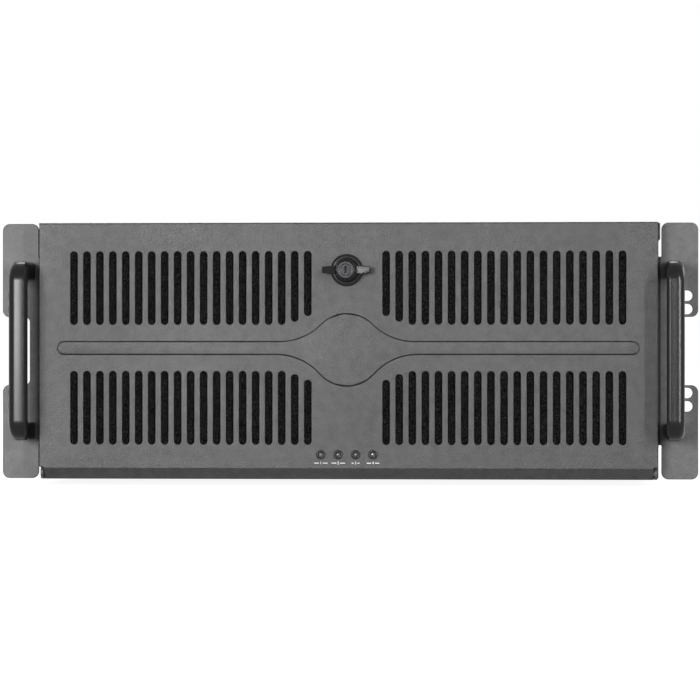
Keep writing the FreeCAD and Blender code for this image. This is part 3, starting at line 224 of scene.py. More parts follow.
SURFACE_INPUTS = {
    "Place": ("NodeSocketVector", (0.0, 0.0, 0.0)),
    "Colour": ("NodeSocketColor", (0.5, 0.5, 0.5, 1.0)),
    "Grain": ("NodeSocketFloat", 1.0 * MM),
    "Tone": ("NodeSocketFloat", 0.1),
    "Roughness": ("NodeSocketFloat", 0.5),
    "Roughness Spread": ("NodeSocketFloat", 0.05),
}
SURFACE_OUTPUTS = {"Colour": "NodeSocketColor", "Roughness": "NodeSocketFloat", "Height": "NodeSocketFloat"}


@dataclass(frozen=True)
class Pattern:
    """What one kind of surface draws, before a finish gives it a colour and a roughness."""

    tone: bpy.types.NodeSocket
    gloss: bpy.types.NodeSocket
    height: bpy.types.NodeSocket
    low: float = 0.3
    high: float = 0.7


class SurfaceGroups:
    """The shader groups that the finishes share, each built once."""

    def __init__(self) -> None:
        """Build one group for each kind of surface."""
        drawers = {Surface.GRAINED: self.grained, Surface.FOAM: self.foam, Surface.SHEET: self.sheet}
        self.trees = {kind: self.group(kind, draw) for kind, draw in drawers.items()}

    def group(self, kind: Surface, draw: Callable[[Wiring, Any, Any, Any], Pattern]) -> bpy.types.NodeTree:
        """Build the group of one kind of surface.

        Args:
            kind: The kind of surface.
            draw: What draws its pattern, from a place, the grain's cells in a metre and the reach of its tones.

        Returns:
            The group's tree.
        """
        nodes, given, result = open_group(kind.value, "ShaderNodeTree", SURFACE_INPUTS, SURFACE_OUTPUTS)
        value = given.outputs
        pattern = draw(nodes, value["Place"], nodes.math("DIVIDE", 1.0, value["Grain"]), value["Tone"])
        nodes.put(nodes.shade(value["Colour"], pattern.tone), result.inputs["Colour"])
        rough = nodes.spread(pattern.gloss, value["Roughness"], value["Roughness Spread"], pattern.low, pattern.high)
        nodes.put(rough, result.inputs["Roughness"])
        nodes.put(pattern.height, result.inputs["Height"])
        return nodes.tree

    def grained(self, nodes: Wiring, place: Any, scale: Any, reach: Any) -> Pattern:
        """Powder coat and moulded plastic: fine bumps with soft patches of tone."""
        fine = nodes.grain(place, scale, 3.0)
        patch = nodes.grain(place, nodes.math("DIVIDE", scale, 9.0))
        wide = nodes.grain(place, nodes.math("DIVIDE", scale, 90.0))
        mixed = nodes.math("ADD", nodes.math("MULTIPLY", fine, 0.6), nodes.math("MULTIPLY", patch, 0.4))
        return Pattern(nodes.spread(mixed, 1.0, reach), wide, mixed)

    def foam(self, nodes: Wiring, place: Any, scale: Any, reach: Any) -> Pattern:
        """Open-cell foam: light cell walls about pores darkened as painted shade, with bright flecks painted as glints.
        """
        cells = nodes.add("ShaderNodeTexVoronoi", {"Vector": place, "Scale": scale}, feature="DISTANCE_TO_EDGE")
        # the pores are painted darker than the cell walls, as painted shade inside them
        ends = {"From Min": 0.02, "From Max": 0.22, "To Min": 1.0, "To Max": 0.12}
        cell_walls_and_painted_pore_shade = nodes.add("ShaderNodeMapRange", {"Value": cells.outputs["Distance"], **ends},
                         interpolation_type="SMOOTHSTEP")
        # a noise field paints bright flecks as glints and also varies the roughness
        painted_glint_flecks = nodes.grain(place, nodes.math("MULTIPLY", scale, 0.8))
        tone = nodes.math("MULTIPLY", cell_walls_and_painted_pore_shade.outputs["Result"], nodes.spread(painted_glint_flecks, 1.0, reach, 0.35, 0.72))
        return Pattern(tone, painted_glint_flecks, tone)

    def sheet(self, nodes: Wiring, place: Any, scale: Any, reach: Any) -> Pattern:
        """Zinc-plated and turned metal: faint crystals under fine rolling lines."""
        low, high = 0.2, 0.8
        crystals = nodes.add("ShaderNodeTexVoronoi", {"Vector": place, "Scale": nodes.math("DIVIDE", scale, 8.0)},
                             feature="F1")
        split = nodes.add("ShaderNodeSeparateColor", {"Color": crystals.outputs["Color"]})
        stretch = nodes.add("ShaderNodeMapping", {"Vector": place, "Scale": (1.0, 0.04, 1.0)})
        lines = nodes.grain(stretch.outputs["Vector"], scale, 3.0)
        mixed = nodes.math("ADD", nodes.math("MULTIPLY", split.outputs["Red"], 0.35),
                           nodes.math("MULTIPLY", lines, 0.65))
        return Pattern(nodes.spread(mixed, 1.0, reach, low, high), mixed, lines, low, high)


# ------------------------------------------------------------------ finishes

@dataclass(frozen=True)
class Finish:
    """How one material of the case looks."""

    name: str
    colour: tuple[float, float, float]
    surface: Surface = Surface.GRAINED
    roughness: float = 0.5
    spread: float = 0.05
    metallic: float = 0.0
    specular: float = 0.5
    clear: float = 0.0
    # colour factor on faces marked as rounded edges or slopes: below 1 it paints shade there, above 1 it paints a
    # highlight
    edge: float = 0.55
    grain: float = 0.7 * MM
    tone: float = 0.1
    depth: float = 0.02 * MM

    def material(self, groups: SurfaceGroups) -> bpy.types.Material:
        """Build the finish as a material.

        Args:
            groups: The shared surface groups.

        Returns:
            The material.
        """
        made = bpy.data.materials.new(self.name)
        nodes = own_nodes(made)
        place = nodes.add("ShaderNodeTexCoord")
        surface = nodes.add("ShaderNodeGroup", node_tree=groups.trees[self.surface])
        for name, value in (("Place", place.outputs["Object"]), ("Colour", (*self.colour, 1.0)),
                            ("Grain", self.grain), ("Tone", self.tone), ("Roughness", self.roughness),
                            ("Roughness Spread", self.spread)):
            nodes.put(value, surface.inputs[name])
        # faces marked in the edge attribute get painted shade, or a painted highlight where the factor is above 1
        rim = nodes.add("ShaderNodeAttribute", attribute_name="edge")
        painted_edge_light = nodes.math("SUBTRACT", 1.0, nodes.math("MULTIPLY", rim.outputs["Fac"], 1.0 - self.edge))
        bump = nodes.add("ShaderNodeBump", {"Distance": self.depth, "Height": surface.outputs["Height"]})
        shader = nodes.add("ShaderNodeBsdfPrincipled", {
            "Base Color": nodes.shade(surface.outputs["Colour"], painted_edge_light),
            "Roughness": surface.outputs["Roughness"],
            "Metallic": self.metallic,
            "Specular IOR Level": self.specular,
            "Transmission Weight": self.clear,
            "Normal": bump.outputs["Normal"],
        })
        nodes.add("ShaderNodeOutputMaterial", {"Surface": shader.outputs["BSDF"]})
        return made


FINISHES = {
    "case_black": Finish("Chassis Powder Coat", (0.032, 0.032, 0.033), roughness=0.46, spread=0.02, specular=0.32,
                         grain=0.8 * MM, tone=0.3, depth=0.08 * MM),
    # edge=0.05 paints the door's rounded edges and the raised bar's slopes almost black, as painted shade in the
    # creases
    "door_black": Finish("Door Powder Coat", (0.021, 0.021, 0.0215), roughness=0.37, specular=0.27, edge=0.05,
                         grain=0.8 * MM, tone=0.6, depth=0.42 * MM),
    "ear_black": Finish("Ear Powder Coat", (0.045, 0.045, 0.046), roughness=0.48, specular=0.3,
                        grain=0.7 * MM, tone=0.4, depth=0.2 * MM),
    "handle_black": Finish("Handle Enamel", (0.004, 0.004, 0.0042), roughness=0.25, spread=0.02, specular=0.18,
                           grain=0.5 * MM, tone=0.1, depth=0.02 * MM),
    "zinc": Finish("Zinc Sheet", (0.4, 0.405, 0.41), Surface.SHEET, roughness=0.42, spread=0.08, metallic=1.0,
                   edge=1.0, grain=0.9 * MM, tone=0.14, depth=0.008 * MM),
    "screw_zinc": Finish("Screw Zinc", (0.42, 0.43, 0.44), Surface.SHEET, roughness=0.3, spread=0.06, metallic=1.0,
                         edge=1.0, grain=0.5 * MM, tone=0.12, depth=0.006 * MM),
    "brass": Finish("Turned Brass", (0.72, 0.52, 0.24), Surface.SHEET, roughness=0.28, spread=0.06, metallic=1.0,
                    edge=1.0, grain=0.4 * MM, tone=0.1, depth=0.005 * MM),
    "black_plastic": Finish("Moulded Plastic", (0.009, 0.009, 0.0095), roughness=0.32, spread=0.015, specular=0.2,
                            edge=0.9, grain=0.6 * MM, tone=0.1, depth=0.02 * MM),
    "lock_black": Finish("Lock Enamel", (0.006, 0.006, 0.0065), roughness=0.22, spread=0.02, specular=0.17, edge=1.0,
                         grain=0.4 * MM, tone=0.1, depth=0.003 * MM),
    # edge=2.5 paints the lock core's rounded edges lighter, as a painted highlight
    "lock_core": Finish("Lock Core Metal", (0.02, 0.02, 0.021), Surface.SHEET, roughness=0.32, spread=0.07,
                        metallic=1.0, edge=2.5, grain=0.4 * MM, tone=0.2, depth=0.006 * MM),
    "foam": Finish("Filter Foam", (0.014, 0.014, 0.0145), Surface.FOAM, roughness=0.75, spread=0.1, specular=0.0,
                   grain=0.8 * MM, tone=0.9, depth=0.35 * MM),
    "rubber": Finish("Soft Rubber", (0.025, 0.025, 0.026), roughness=0.7, grain=0.8 * MM, tone=0.12),
    "lens": Finish("Lamp Lens", (0.4, 0.42, 0.43), roughness=0.08, spread=0.03, clear=0.85, edge=1.0,
                   grain=0.5 * MM, tone=0.04, depth=0.004 * MM),
    "board": Finish("Circuit Board", (0.03, 0.17, 0.08), roughness=0.4, edge=1.0,
                    grain=0.6 * MM, tone=0.18, depth=0.01 * MM),
}
PRINT = Finish("Mark Ink", (0.5, 0.5, 0.51), roughness=0.6, grain=0.3 * MM, tone=0.2, depth=0.004 * MM)


# ------------------------------------------------------------------ flat sheet

Point = tuple[float, float]
Faces = dict[bmesh.types.BMFace, None]  # a group of faces that keeps its order, which a set doesn't
BAND_SHARES = (1.0, 0.6, 0.35, 0.2)     # how wide a strip may be, widest first


def at_angle(degrees: float) -> Point:
    """The step of one unit at an angle, in full precision, which a Vector would round."""
    return math.cos(math.radians(degrees)), math.sin(math.radians(degrees))


def area(outline: Sequence[Point]) -> float:
    """The area of an outline, positive where it runs counter-clockwise."""
    ends = (*outline[1:], outline[0])
    return sum(x * next_z - next_x * z for (x, z), (next_x, next_z) in zip(outline, ends)) / 2


def bounds(outline: Sequence[Point]) -> tuple[float, float, float, float]:
    """An outline's left, right, lowest and highest places."""
    across, up = [x for x, _ in outline], [z for _, z in outline]
    return min(across), max(across), min(up), max(up)


def grown(outline: Sequence[Point], reach: float) -> list[Point]:
    """An outline moved outwards.

    Args:
        outline: Its corners.
        reach: How far it moves, inwards where negative.

    Returns:
        The new corners, one for each old one.
    """
    side = 1.0 if area(outline) > 0.0 else -1.0
    count = len(outline)
    points = [Vector(corner) for corner in outline]
    moved = []
    for step, here in enumerate(points):
        before = (here - points[step - 1]).normalized()
        after = (points[(step + 1) % count] - here).normalized()
        first = Vector((before.y, -before.x)) * side
        last = Vector((after.y, -after.x)) * side
        place = here + (first + last) * (reach / max(1.0 + first.dot(last), 0.2))
        moved.append((place.x, place.y))
    return moved


def inside(x: float, z: float, outline: Sequence[Point]) -> bool:
    """Whether a point lies inside an outline."""
    found = False
    for (first_x, first_z), (last_x, last_z) in zip(outline, (*outline[1:], outline[0])):
        if (first_z > z) != (last_z > z) and x < first_x + (last_x - first_x) * (z - first_z) / (last_z - first_z):
            found = not found
    return found


def bridge(shape: bmesh.types.BMesh, near: Sequence[bmesh.types.BMVert],
           far: Sequence[bmesh.types.BMVert]) -> list[bmesh.types.BMFace]:
    """Join two rings of as many corners with a band of faces."""
    after = [(step + 1) % len(near) for step in range(len(near))]
    return [shape.faces.new((near[step], near[ahead], far[ahead], far[step])) for step, ahead in enumerate(after)]


def chains(edges: Iterable[bmesh.types.BMEdge]) -> list[list[bmesh.types.BMVert]]:
    """Sort edges into closed chains of corners."""
    after: dict[bmesh.types.BMVert, list[bmesh.types.BMVert]] = {}
    for edge in edges:
        first, last = edge.verts
        after.setdefault(first, []).append(last)
        after.setdefault(last, []).append(first)
    found = []
    left = dict.fromkeys(after)
    while left:
        here = next(iter(left))
        left.pop(here)
        chain = [here]
        ahead = [vertex for vertex in after[here] if vertex in left]
        while ahead:
            here = ahead[0]
            left.pop(here)
            chain.append(here)
            ahead = [vertex for vertex in after[here] if vertex in left]
        found.append(chain)
    return found


@dataclass(frozen=True)
class Plane:
    """A flat side of a sheet, square to one axis."""

    axis: int
    place: float
    facing: float

    def flat(self, point: Sequence[float]) -> Point:
        """A point's place within the plane."""
        return tuple(value for step, value in enumerate(point) if step != self.axis)

    def solid(self, point: Point) -> list[float]:
        """A place within the plane as a point in space."""
        full = list(point)
        full.insert(self.axis, self.place)
        return full

    def region(self, shape: bmesh.types.BMesh) -> Faces:
        """All of a mesh's faces that lie in the plane."""
        return dict.fromkeys(face for face in shape.faces if face.normal[self.axis] * self.facing > SQUARE
                             and abs(face.calc_center_median()[self.axis] - self.place) < HAIR)

    def loops(self, faces: Faces) -> list[list[Point]]:
        """The outlines of a group of faces."""
        rim = [edge for face in faces for edge in face.edges if sum(near in faces for near in edge.link_faces) == 1]
        return [[self.flat(vertex.co) for vertex in chain] for chain in chains(rim)]

    def turn_out(self, face: bmesh.types.BMFace) -> None:
        """Turn a new face the way that the side faces."""
        face.normal_update()
        if face.normal[self.axis] * self.facing < 0.0:
            face.normal_flip()

    def strip(self, shape: bmesh.types.BMesh, loop: Sequence[Point], ring: Sequence[Point]) -> None:
        """Lay a narrow strip of faces between an outline and the ring beside it."""
        near, far = ([shape.verts.new(self.solid(point)) for point in line] for line in (loop, ring))
        for face in bridge(shape, near, far):
            self.turn_out(face)

    def fill(self, shape: bmesh.types.BMesh, loops: Sequence[Sequence[Point]]) -> None:
        """Fill the plane between its outer outline and its holes.

        Args:
            shape: The mesh that the faces are added to.
            loops: The outlines.
        """
        points, edges = [], []
        for loop in loops:
            first = len(points)
            points += [Vector(corner) for corner in loop]
            edges += [(first + step, first + (step + 1) % len(loop)) for step in range(len(loop))]
        placed, _, faces = geometry.delaunay_2d_cdt(points, edges, [], 0, 1e-7)[:3]
        outer = max(loops, key=lambda loop: abs(area(loop)))
        holes = [(loop, *bounds(loop)[:2]) for loop in loops if loop is not outer]
        made = [shape.verts.new(self.solid((point.x, point.y))) for point in placed]
        for corners in faces:
            x = sum(placed[index].x for index in corners) / len(corners)
            z = sum(placed[index].y for index in corners) / len(corners)
            if not inside(x, z, outer) or any(low < x < high and inside(x, z, hole) for hole, low, high in holes):
                continue
            self.turn_out(shape.faces.new([made[index] for index in corners]))

    def rings(self, loops: Sequence[Sequence[Point]], band: float) -> list[list[Point]]:
        """Rings beside the outlines, or none where they would run into each other.

        Args:
            loops: The outlines.
            band: How far a ring lies from its outline.

        Returns:
            One ring for each outline, or an empty list.
        """
        outer = max(loops, key=lambda loop: abs(area(loop)))
        rings = [grown(loop, -band if loop is outer else band) for loop in loops]
        boxes = [bounds(ring) for ring in rings]
        for loop, ring in zip(loops, rings):
            for x, z in ring:
                if not inside(x, z, outer):
                    return []
                for other, near, (left, right, low, high) in zip(loops, rings, boxes):
                    if other is outer or other is loop or not (left < x < right and low < z < high):
                        continue
                    if inside(x, z, near):
                        return []
        return rings

    def redraw(self, shape: bmesh.types.BMesh, faces: Faces, band: float) -> None:
        """Draw flat faces again, with an even strip along every outline, narrower where there is less room.

        Args:
            shape: The mesh.
            faces: The faces, which are taken away.
            band: Width of the strips.
        """
        loops = self.loops(faces)
        for share in BAND_SHARES:
            rings = self.rings(loops, band * share)
            if rings:
                bmesh.ops.delete(shape, geom=list(faces), context="FACES")
                for loop, ring in zip(loops, rings):
                    self.strip(shape, loop, ring)
                self.fill(shape, rings)
                return


# ------------------------------------------------------------------ workshop

def new_object(name: str, data: bpy.types.ID) -> bpy.types.Object:
    """Put an object in the scene, at the origin."""
    item = bpy.data.objects.new(name, data)
    bpy.context.scene.collection.objects.link(item)
    return item


@dataclass
class Workshop:
    """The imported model, its finishes and the ways to turn meshes into pieces."""

    frame: dict[str, Any]
    groups: SurfaceGroups = field(default_factory=SurfaceGroups)
    materials: dict[str, bpy.types.Material] = field(default_factory=dict)
    made: list[str] = field(default_factory=list)

    def __post_init__(self) -> None:
        """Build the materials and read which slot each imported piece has."""
        self.materials = {slot: finish.material(self.groups) for slot, finish in FINISHES.items()}
        self.materials["print"] = PRINT.material(self.groups)
        self.slots = {part["node"]: part["material_slot"] for part in self.frame["record"]["subparts"]}

    def mesh_object(self, name: str, shape: bmesh.types.BMesh | bpy.types.Mesh) -> bpy.types.Object:
        """Put a mesh in the scene.

        Args:
            name: The object's name.
            shape: The mesh, which is freed where it is a BMesh.

        Returns:
            The object, at the origin.
        """
        mesh = shape
        if isinstance(shape, bmesh.types.BMesh):
            mesh = bpy.data.meshes.new(name)
            shape.to_mesh(mesh)
            shape.free()
        return new_object(name, mesh)

    def bake(self, item: bpy.types.Object) -> None:
        """Turn an object's modifiers into its own mesh."""
        graph = bpy.context.evaluated_depsgraph_get()
        mesh = bpy.data.meshes.new_from_object(
            item.evaluated_get(graph), preserve_all_data_layers=True, depsgraph=graph)
        item.modifiers.clear()
        item.data = mesh

    def run_tree(self, item: bpy.types.Object, tree: bpy.types.NodeTree, values: dict[str, Any]) -> None:
        """Run a geometry nodes tree on an object and keep what it makes.

        Args:
            item: The object.
            tree: The tree.
            values: What the tree's named inputs get.
        """
        keys = {socket.name: socket.identifier for socket in tree.interface.items_tree if socket.in_out == "INPUT"}
        setter = item.modifiers.new("copies", "NODES")
        setter.node_group = tree
        for name, value in values.items():
            setter[keys[name]] = value
        item.update_tag()
        bpy.context.view_layer.update()
        self.bake(item)

    def smooth(self, item: bpy.types.Object, angle: float = 35.0) -> None:
        """Shade a mesh smooth, with sharp edges past an angle in degrees."""
        item.data.shade_smooth()
        item.data.set_sharp_from_angle(angle=math.radians(angle))

    def soften(self, item: bpy.types.Object, width: float, steps: int = 2, angle: float = 35.0) -> None:
        """Round every sharp edge of a mesh a little.

        Args:
            item: The object.
            width: How far the round reaches from the edge.
            steps: Faces across the round.
            angle: Edges sharper than this, in degrees, are rounded.
        """
        item.data.shade_smooth()
        bevel = item.modifiers.new("edge_round", "BEVEL")
        bevel.width = width
        bevel.segments = steps
        bevel.limit_method = "ANGLE"
        bevel.angle_limit = math.radians(angle)
        bevel.use_clamp_overlap = False
        # bevel faces are marked so that the finish paints shade along the rounded edges, or for the lock core a
        # highlight
        bevel.material = 1
        weighted = item.modifiers.new("flat_faces", "WEIGHTED_NORMAL")
        weighted.keep_sharp = True
        while len(item.data.materials) < 2:
            item.data.materials.append(self.materials["print"])
        self.bake(item)
        self.mark_edges(item)

    def mark_edges(self, item: bpy.types.Object) -> None:
        """Write which faces belong to rounded edges, or to the door's marked slopes, into the mesh, where the finish
        paints shade or a highlight on them.
        """
        faces = item.data.polygons
        marks = [float(face.material_index == 1) for face in faces]
        layer = item.data.attributes.new("edge", "FLOAT", "FACE")
        layer.data.foreach_set("value", marks)
        faces.foreach_set("material_index", [0] * len(faces))

    def finish(self, item: bpy.types.Object, slot: str, body: Body | str, replaced: Sequence[str] = ()) -> None:
        """Give a piece its material and its body.

        Args:
            item: The piece.
            slot: The material slot that it takes its finish from.
            body: The body that it rides on.
            replaced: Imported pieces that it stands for.
        """
        item.data.materials.clear()
        item.data.materials.append(self.materials[slot])
        name = body.value if isinstance(body, Body) else body
        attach(item, name)
        if replaced:
            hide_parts(*replaced)
        self.made.append(item.name)
        log.info("%s rides on %s, %d faces", item.name, name, len(item.data.polygons))

    def merged(self, node: str) -> bmesh.types.BMesh:
        """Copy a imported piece's mesh, with its loose triangles joined at their corners."""
        shape = bmesh.new()
        shape.from_mesh(self.frame["nodes"][node].data)
        bmesh.ops.remove_doubles(shape, verts=shape.verts, dist=WELD)
        bmesh.ops.dissolve_degenerate(shape, edges=shape.edges, dist=SPECK)
        bmesh.ops.dissolve_limit(shape, angle_limit=math.radians(FLAT_ANGLE), verts=shape.verts, edges=shape.edges)
        bmesh.ops.triangulate(shape, faces=shape.faces, quad_method="BEAUTY", ngon_method="BEAUTY")
        return shape

    def redrawn(self, node: str, band: float) -> bmesh.types.BMesh:
        """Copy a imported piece's mesh with its flat sides drawn again: pierced ones with even strips, others whole.

        Args:
            node: The piece.
            band: Width of the strip of faces along each outline.

        Returns:
            The new mesh.
        """
        shape = self.merged(node)
        whole = []
        for plane, faces in self.flat_sides(shape):
            if len(plane.loops(faces)) > 1:
                plane.redraw(shape, faces, band)
            elif len(faces) > 2:
                whole.append(faces)
        for faces in whole:
            bmesh.ops.dissolve_faces(shape, faces=list(faces))
        bmesh.ops.remove_doubles(shape, verts=shape.verts, dist=WELD)
        return shape

    def flat_sides(self, shape: bmesh.types.BMesh) -> list[tuple[Plane, Faces]]:
        """Find the flat sides that are square to an axis."""
        found = []
        left = dict.fromkeys(face for face in shape.faces if max(abs(value) for value in face.normal) > SQUARE)
        while left:
            first = next(iter(left))
            left.pop(first)
            axis = max(range(3), key=lambda step: abs(first.normal[step]))
            plane = Plane(axis, first.calc_center_median()[axis], math.copysign(1.0, first.normal[axis]))
            group, ahead = {first: None}, [first]
            while ahead:
                here = ahead.pop()
                for edge in here.edges:
                    for near in edge.link_faces:
                        if near in left and near.normal[axis] * plane.facing > SQUARE:
                            left.pop(near)
                            group[near] = None
                            ahead.append(near)
            found.append((plane, group))
        return found

    def body_of(self, node: str) -> str:
        """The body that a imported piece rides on."""
        found = body_of(self.frame["nodes"][node])
        return found if isinstance(found, str) else list(found)[0]


# ------------------------------------------------------------------ rounded sheet and cast pieces

@dataclass
class RoundedPieces:
    """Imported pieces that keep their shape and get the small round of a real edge."""

    shop: Workshop
    standard: float = 0.25 * MM
    widths: dict[str, float] = field(default_factory=lambda: {
        "ear_right": 0.4 * MM, "ear_left": 0.4 * MM,
        "lock_housing": 0.35 * MM, "lock_knob": 0.5 * MM, "lock_cylinder": 0.2 * MM, "lock_plug": 0.15 * MM,
        "power_button": 0.6 * MM, "reset_button": 0.5 * MM, "bay_cover_1": 0.5 * MM, "bay_cover_2": 0.5 * MM,
        "bay_cover_3": 0.5 * MM, "board_standoffs": 0.3 * MM, "hold_down_pads": 1.5 * MM, "lock_nut": 0.4 * MM,
        "fan_frame": 0.4 * MM, "hinge_pins": 0.3 * MM,
    })
    special: tuple[str, ...] = ("door_panel", "thumb_screws", "fan_rotor", "filter_right", "filter_left",
                                "lamp_bezels", "lamps", "handle_right", "handle_left")

    def build(self) -> None:
        """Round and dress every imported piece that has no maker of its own."""
        for node in sorted(self.shop.slots):
            if node not in self.special:
                self.piece(node)

    def piece(self, node: str) -> None:
        """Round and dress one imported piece."""
        width = self.widths.get(node, self.standard)
        item = self.shop.mesh_object(f"{node}_finish", self.shop.redrawn(node, 1.4 * width))
        self.shop.soften(item, width)
        self.shop.finish(item, self.shop.slots[node], self.shop.body_of(node), (node,))


# ------------------------------------------------------------------ pull handles

@dataclass
class Handles:
    """Two pull handles, each one section swept round a bent bar and crowned on its face."""

    shop: Workshop
    leg: float = 12.0 * MM
    grip: float = 11.0 * MM
    bend: float = 14.0 * MM
    palm: float = 6.0 * MM
    facet: float = 1.8 * MM
    crown: float = 0.13 * MM
    outer_round: float = 4.6 * MM
    back_round: float = 1.6 * MM
    edge: float = 0.35 * MM
    bend_steps: int = 18
    crown_steps: int = 4
    round_steps: int = 10
    back_steps: int = 4

    def build(self) -> None:
        """Build both handles."""
        for word, side in SIDES.items():
            self.handle(word, side)

    def stations(self, node: str) -> list[tuple[Vector, Vector]]:
        """Pairs of places on the bar's outer and inner side, from one foot to the other.

        Args:
            node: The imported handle.

        Returns:
            The pairs, each as (along Y, along Z).
        """
        low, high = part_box(node)
        foot, near, palm = high.y, low.y, low.y + self.grip
        outer, inner = near + self.bend, palm + self.palm
        top, roof = high.z - self.bend, high.z - self.leg - self.palm
        half = [(Vector((foot, high.z)), Vector((foot, high.z - self.leg)))]
        for step in range(self.bend_steps + 1):
            turn = Vector(at_angle(90.0 + 90.0 * step / self.bend_steps))
            half.append((Vector((outer, top)) + self.bend * turn, Vector((inner, roof)) + self.palm * turn))
        middle = low.z + high.z
        return half + [tuple(Vector((place.x, middle - place.y)) for place in pair) for pair in reversed(half)]

    def section(self, width: float, thick: float) -> list[Point]:
        """The bar's section, as places across its width and below its outer side.

        Args:
            width: Width of the bar.
            thick: Its thickness.

        Returns:
            The corners, in order.
        """
        start, end = self.facet, width - self.outer_round
        middle, half = (start + end) / 2, (end - start) / 2
        steps = self.crown_steps
        face = [(middle + half * step / steps, self.crown * (step / steps) ** 2) for step in range(-steps, steps + 1)]
        tilt = math.atan(2 * self.crown / half)
        radius = self.outer_round / (1.0 - math.sin(tilt) * 0.5)
        turn = []
        for step in range(1, self.round_steps + 1):
            angle = tilt + (math.pi / 2 - tilt) * step / self.round_steps
            share = (math.sin(angle) - math.sin(tilt)) / (1.0 - math.sin(tilt))
            turn.append((end + self.outer_round * share, self.crown + radius * (math.cos(tilt) - math.cos(angle))))
        back = []
        for across, start_angle in ((width - self.back_round, 0.0), (self.back_round, 90.0)):
            for step in range(self.back_steps + 1):
                cosine, sine = at_angle(start_angle + 90.0 * step / self.back_steps)
                back.append((across + self.back_round * cosine, thick - self.back_round + self.back_round * sine))
        return [(0.0, self.facet + self.crown)] + face + turn + back

    def handle(self, word: str, side: int) -> None:
        """Sweep one handle.

        Args:
            word: Which handle.
            side: 1 at the right, -1 at the left.
        """
        node = f"handle_{word}"
        low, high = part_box(node)
        shape = bmesh.new()
        rings = []
        for outer, inner in self.stations(node):
            way = (inner - outer).normalized()
            ring = []
            for across, deep in self.section(high.x - low.x, (inner - outer).length):
                place = outer + way * deep
                x = low.x + across if side > 0 else high.x - across
                ring.append(shape.verts.new((x, place.x, place.y)))
            rings.append(ring)
        for near, far in zip(rings, rings[1:]):
            bridge(shape, near, far)
        shape.faces.new(rings[0])
        shape.faces.new(rings[-1])
        bmesh.ops.recalc_face_normals(shape, faces=shape.faces)
        item = self.shop.mesh_object(f"{node}_finish", shape)
        self.shop.soften(item, self.edge, 2, 25.0)
        self.shop.finish(item, "handle_black", Body.CASE, (node,))


# ------------------------------------------------------------------ small parts on points

def lay_copies(nodes: Wiring, given: bpy.types.Node, result: bpy.types.Node, points: bpy.types.NodeSocket,
               rotation: bpy.types.NodeSocket, size: Any = (1.0, 1.0, 1.0)) -> None:
    """End a geometry nodes tree with copies of its part, made real and given its material.

    Args:
        nodes: The tree's wiring.
        given: Its input node, with a Part and a Material.
        result: Its output node.
        points: Where the copies stand.
        rotation: How each is turned.
        size: Their scale.
    """
    part = nodes.add("GeometryNodeObjectInfo", {"Object": given.outputs["Part"]})
    copies = nodes.add("GeometryNodeInstanceOnPoints", {
        "Points": points, "Instance": part.outputs["Geometry"], "Rotation": rotation, "Scale": size})
    real = nodes.add("GeometryNodeRealizeInstances", {"Geometry": copies.outputs["Instances"]})
    dressed = nodes.add("GeometryNodeSetMaterial", {
        "Geometry": real.outputs["Geometry"], "Material": given.outputs["Material"]})
    nodes.put(dressed.outputs["Geometry"], result.inputs["Mesh"])


class PointSetter:
    """A geometry nodes tree that sets a copy of one small part at every point of a mesh."""

    def __init__(self) -> None:
        """Build the tree, with its sizes as named inputs."""
        inputs = {
            "Points": ("NodeSocketGeometry", None),
            "Part": ("NodeSocketObject", None),
            "Axis": ("NodeSocketVector", (0.0, 0.0, 1.0)),
            "Size": ("NodeSocketFloat", 1.0),
            "Turn": ("NodeSocketFloat", 0.0),
            "Seed": ("NodeSocketInt", 1),
            "Material": ("NodeSocketMaterial", None),
        }
        nodes, given, result = open_group("Set Small Parts", "GeometryNodeTree", inputs, {"Mesh": "NodeSocketGeometry"})
        value = given.outputs
        aim = nodes.add("FunctionNodeAlignRotationToVector", {"Vector": value["Axis"]}, axis="Z")
        # input 3 is the most that a plain random number may be, and output 1 is that number
        chance = nodes.add("FunctionNodeRandomValue", {3: value["Turn"], "Seed": value["Seed"]}, data_type="FLOAT")
        spin = nodes.add("FunctionNodeAxisAngleToRotation", {"Axis": (0.0, 0.0, 1.0), "Angle": chance.outputs[1]})
        turned = nodes.add("FunctionNodeRotateRotation", {
            "Rotation": aim.outputs["Rotation"], "Rotate By": spin.outputs["Rotation"]}, rotation_space="LOCAL")
        lay_copies(nodes, given, result, value["Points"], turned.outputs["Rotation"], value["Size"])
        self.tree = nodes.tree

    def set(self, shop: Workshop, name: str, part: bpy.types.Object, places: Iterable[Vector], axis: Vector,
            size: float = 1.0, turn: float = 0.0, slot: str = "screw_zinc") -> bpy.types.Object:
        """Set copies of a part at some places.

        Args:
            shop: The workshop.
            name: The new piece's name.
            part: The part, which stands on z = 0 along its own Z.
            places: Where the copies stand.
            axis: The way that the part's own Z points.
            size: Scale of the part.
            turn: How far each copy may be turned about its axis, in radians.
            slot: The material slot of the copies.

        Returns:
            One plain mesh object with all the copies.
        """
        points = bpy.data.meshes.new(f"{name}_points")
        points.from_pydata([tuple(place) for place in places], [], [])
        item = shop.mesh_object(name, points)
        shop.run_tree(item, self.tree, {"Part": part, "Axis": tuple(axis), "Size": size, "Turn": turn,
                                        "Seed": len(name), "Material": shop.materials[slot]})
        return item


